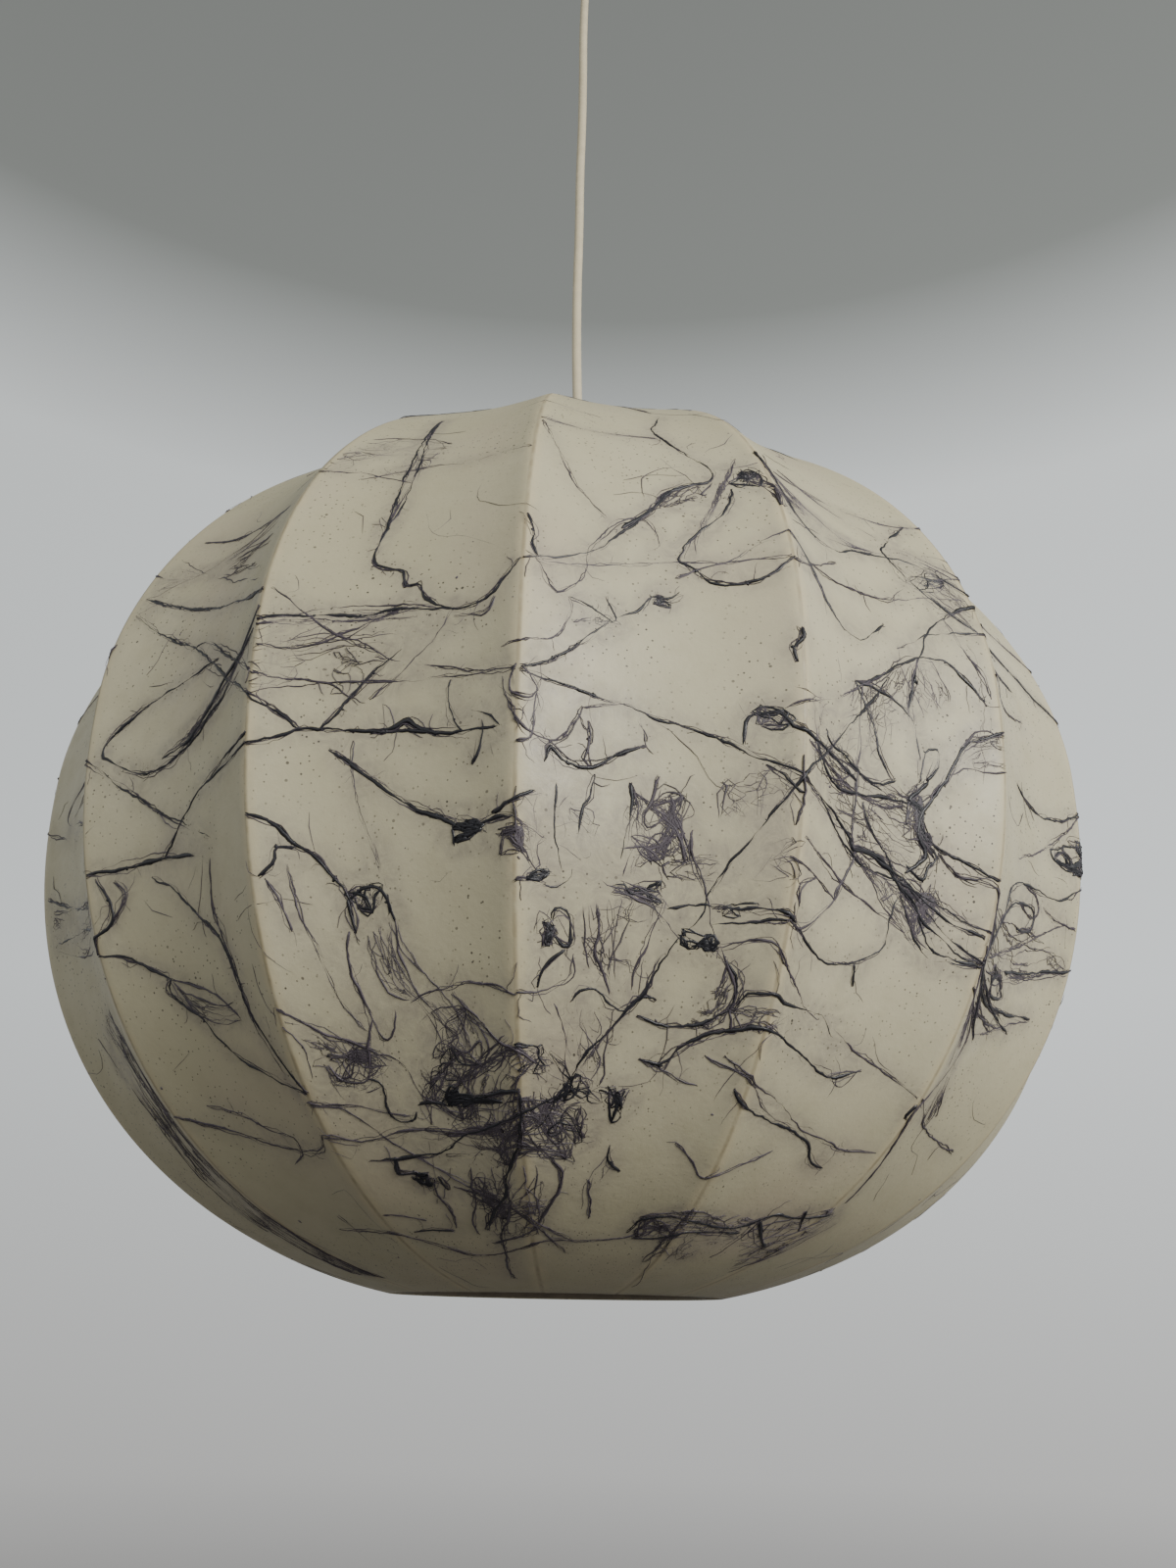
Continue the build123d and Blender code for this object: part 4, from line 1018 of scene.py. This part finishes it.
ROWS = 200
HAZE_REACH = 0.008  # how near a thread has to be to darken the film
HAZE_GAIN = 0.075
RIB_ROUNDING = 0.004  # how far from a rib its rounding starts
RIB_SINK = 0.0006
RIPPLE = 0.0004
FILM_THICKNESS = 0.0007
COLUMNS = [0.0, 0.008, 0.018, 0.034, 0.058] + [0.09 + 0.82 * i / 24 for i in range(25)]
COLUMNS += [0.942, 0.966, 0.982, 0.992]
vertices, faces, from_rib, haze, unrolled = [], [], [], [], []
columns = [panel + column for panel in range(RIBS) for column in COLUMNS]
for row in range(ROWS + 1):
    t = row / ROWS
    radius = meridian(t)[0]
    for a in columns:
        place = film(a, t)
        off = abs(a - round(a)) * radius * PITCH
        # The film is rounded over each rib and ripples a little between them.
        blunt = max(0.0, 1 - off / RIB_ROUNDING) ** 2
        inwards = Vector((place.x, place.y, 0)).normalized() * -1
        ripple = RIPPLE * noise.noise(place * 38) * min(1.0, off / 0.012)
        vertices.append(place + inwards * (RIB_SINK * blunt + ripple))
        from_rib.append(off)
        unrolled.extend((a * PITCH * RADIUS, t * ARC, 0.0))
        close = fibre_tree.find_range(place, HAZE_REACH)
        haze.append(min(1.0, sum(1 - d / HAZE_REACH for _, _, d in close) * HAZE_GAIN))
width = len(columns)
for row in range(ROWS):
    for i in range(width):
        j = (i + 1) % width
        low = row * width
        faces.append((low + i, low + j, low + width + j, low + width + i))
skin = add_mesh("sprayed_skin", vertices, faces)
for name, values in (("from_rib", from_rib), ("haze", haze)):
    layer = skin.data.attributes.new(name, "FLOAT", "POINT")
    layer.data.foreach_set("value", values)
layer = skin.data.attributes.new("unrolled", "FLOAT_VECTOR", "POINT")
layer.data.foreach_set("vector", unrolled)
solidify = skin.modifiers.new("thickness", "SOLIDIFY")
solidify.thickness = FILM_THICKNESS
solidify.offset = -1
solidify.use_even_offset = False

resin = Recipe("sprayed_resin")
from_rib_value = resin.node("ShaderNodeAttribute", attribute_name="from_rib").outputs["Fac"]
haze_value = resin.node("ShaderNodeAttribute", attribute_name="haze").outputs["Fac"]
unrolled_place = resin.node("ShaderNodeAttribute", attribute_name="unrolled").outputs["Vector"]
cloud = resin.noise(9.0, 5.0, 0.55)
mottle = resin.noise(70.0, 6.0, 0.7)
tone = resin.mix(resin.ramp(cloud, 0.0, 1.0, 0.35, 0.65), (0.535, 0.490, 0.328), (0.590, 0.543, 0.378))
tone = resin.mix(resin.ramp(mottle, 0.0, 0.5, 0.45, 0.75), tone, (0.480, 0.434, 0.283))
blush = resin.ramp(resin.noise(14.0, 3.0, 0.5, (1.0, 1.0, 0.6)), 0.0, 0.35, 0.55, 0.75)
tone = resin.mix(blush, tone, (0.55, 0.455, 0.345))
smoke = resin.ramp(resin.noise(110.0, 9.0, 0.78, distortion=1.6), 0.15, 1.0, 0.36, 0.66)
smoke = resin.math("MULTIPLY", smoke, resin.math("MULTIPLY", haze_value, 0.5))
tone = resin.mix(smoke, tone, (0.160, 0.130, 0.145))
speck_patches = resin.ramp(resin.noise(22.0, 4.0, 0.6), 0.1, 1.0, 0.4, 0.6)
# Specks of resin: cells to the metre, a speck's radius in cells, the share of cells without one.
for scale, size, share in ((150.0, 0.060, 0.55), (260.0, 0.080, 0.50), (80.0, 0.045, 0.75)):
    cells = resin.node("ShaderNodeTexVoronoi", feature="F1", voronoi_dimensions="2D")
    cells.inputs["Scale"].default_value = scale
    resin.link(unrolled_place, cells.inputs["Vector"])
    chosen = resin.node("ShaderNodeSeparateColor")
    resin.link(cells.outputs["Color"], chosen.inputs[0])
    speck = resin.math(
        "MULTIPLY",
        resin.math("LESS_THAN", cells.outputs["Distance"], size),
        resin.math("GREATER_THAN", chosen.outputs[0], share),
    )
    speck = resin.math("MULTIPLY", speck, speck_patches)
    tone = resin.mix(resin.math("MULTIPLY", speck, 0.9), tone, (0.045, 0.038, 0.034))
# Along each rib the film is lighter and yellower: partly the thicker, yellower resin over the wire, partly
# a painted highlight on the rounded crease.
rib_bead_and_highlight = resin.ramp(from_rib_value, 0.8, 0.0, 0.0012, 0.0045)
ragged = resin.ramp(resin.noise(120.0, 4.0, 0.6), 0.35, 1.0, 0.35, 0.6)
tone = resin.mix(resin.math("MULTIPLY", rib_bead_and_highlight, ragged), tone, (0.64, 0.56, 0.36))
# A dark line right on each rib: painted shade in the crease of the film.
painted_crease_shade = resin.math("MULTIPLY", resin.ramp(from_rib_value, 0.55, 0.0, 0.0003, 0.0012), ragged)
tone = resin.mix(painted_crease_shade, tone, (0.24, 0.19, 0.11))
resin.link(tone, resin.shader.inputs["Base Color"])
resin.link(resin.ramp(mottle, 0.38, 0.56, 0.3, 0.7), resin.shader.inputs["Roughness"])
resin.shader.inputs["Specular IOR Level"].default_value = 0.4
film_bump = resin.bump(
    resin.math("ADD", resin.noise(420.0, 4.0, 0.6), resin.math("MULTIPLY", mottle, 1.5)), 0.25, 0.0004
)
glow = resin.node("ShaderNodeBsdfTranslucent")
resin.link(tone, glow.inputs["Color"])
resin.link(film_bump, glow.inputs["Normal"])
blend = resin.node("ShaderNodeMixShader")
blend.inputs[0].default_value = 0.16
resin.link(resin.shader.outputs[0], blend.inputs[1])
resin.link(glow.outputs[0], blend.inputs[2])
resin.link(blend.outputs[0], resin.tree.nodes["Material Output"].inputs["Surface"])
skin.data.materials.append(resin.material)
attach(skin, "pendant")
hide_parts("shade_skin")

# ---------------------------------------------------------------- hems: the film round each ring

# The hems' dark brown is painted shade along each ring's edge, on the resin run round the ring, with
# darker patches at random.
painted_shade_hem_material = plain_material(
    "hem_resin_painted_shade", (0.17, 0.14, 0.10), 0.2, 0.0, 0.45, 120.0, 0.6, 500.0, wear=(0.08, 0.065, 0.045)
)
HEM_THICKNESS = 0.00035
HEM_LUMPS = 0.0003


def hem(name, node, lumps):
    """Resin that has run round a ring, thicker here and there. lumps picks the places."""
    low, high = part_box(node)
    wire = (high[2] - low[2]) / 2
    ring_radius = high[0] - wire
    ring_z = (high[2] + low[2]) / 2
    around, sides = 320, 16
    vertices, faces = [], []
    for i in range(around):
        azimuth = 2 * pi * i / around
        for j in range(sides):
            angle = 2 * pi * j / sides
            lump = noise.noise(Vector((cos(azimuth) * 9, sin(azimuth) * 9, lumps + angle * 0.4)))
            thick_here = wire + HEM_THICKNESS + HEM_LUMPS * lump
            r = ring_radius + thick_here * cos(angle)
            z = ring_z + thick_here * sin(angle)
            vertices.append((r * cos(azimuth), r * sin(azimuth), z))
    for i in range(around):
        for j in range(sides):
            k, m = (i + 1) % around, (j + 1) % sides
            faces.append((i * sides + j, k * sides + j, k * sides + m, i * sides + m))
    obj = add_mesh(name, vertices, faces)
    obj.data.materials.append(painted_shade_hem_material)
    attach(obj, "pendant")


hem("bottom_hem", "bottom_ring", 3.0)
hem("top_hem", "top_ring", 11.0)

# ---------------------------------------------------------------- light

world = bpy.data.worlds.new("world")
world.use_nodes = True
world_nodes = world.node_tree.nodes
world_links = world.node_tree.links
direction = world_nodes.new("ShaderNodeTexCoord")
heading = world_nodes.new("ShaderNodeSeparateXYZ")
world_links.new(direction.outputs["Generated"], heading.inputs[0])
room = world_nodes.new("ShaderNodeValToRGB")
# The room round the lamp, from straight down, 0, to straight up, 1: floor, walls and ceiling.
room_tones = (
    (0.0, (0.13, 0.125, 0.12)),
    (0.38, (0.20, 0.195, 0.19)),
    (0.45, (0.62, 0.62, 0.61)),
    (0.62, (0.90, 0.94, 0.95)),
    (0.80, (0.86, 0.90, 0.90)),
    (0.86, (0.28, 0.295, 0.28)),
    (1.0, (0.22, 0.23, 0.22)),
)
while len(room.color_ramp.elements) < len(room_tones):
    room.color_ramp.elements.new(0.5)
for element, (place, tone) in zip(room.color_ramp.elements, room_tones):
    element.position = place
    element.color = (*tone, 1.0)
for axis, target, values in (
    ("Z", room.inputs["Fac"], (-1.0, 1.0, 0.0, 1.0)),
    ("X", world_nodes["Background"].inputs["Strength"], (-0.6, 0.6, 0.78, 1.0)),
):
    stretch = world_nodes.new("ShaderNodeMapRange")
    for socket, value in zip(("From Min", "From Max", "To Min", "To Max"), values):
        stretch.inputs[socket].default_value = value
    world_links.new(heading.outputs[axis], stretch.inputs["Value"])
    world_links.new(stretch.outputs["Result"], target)
world_links.new(room.outputs["Color"], world_nodes["Background"].inputs["Color"])
bpy.context.scene.world = world


def area_light(name, place, aim, size, power, colour=(1.0, 1.0, 1.0)):
    data = bpy.data.lights.new(name, "AREA")
    data.shape = "RECTANGLE"
    data.size, data.size_y = size
    data.energy = power
    data.color = colour
    light = bpy.data.objects.new(name, data)
    light.location = place
    light.rotation_euler = (Vector(aim) - Vector(place)).to_track_quat("-Z", "Y").to_euler()
    bpy.context.collection.objects.link(light)


middle = (0.0, 0.0, EQUATOR_Z)
area_light("window", (1.75, -1.9, -0.25), middle, (0.9, 1.0), 72.0, (1.0, 0.985, 0.95))
area_light("room", (-0.9, -2.4, -0.1), middle, (1.6, 1.6), 3.0, (1.0, 0.98, 0.95))
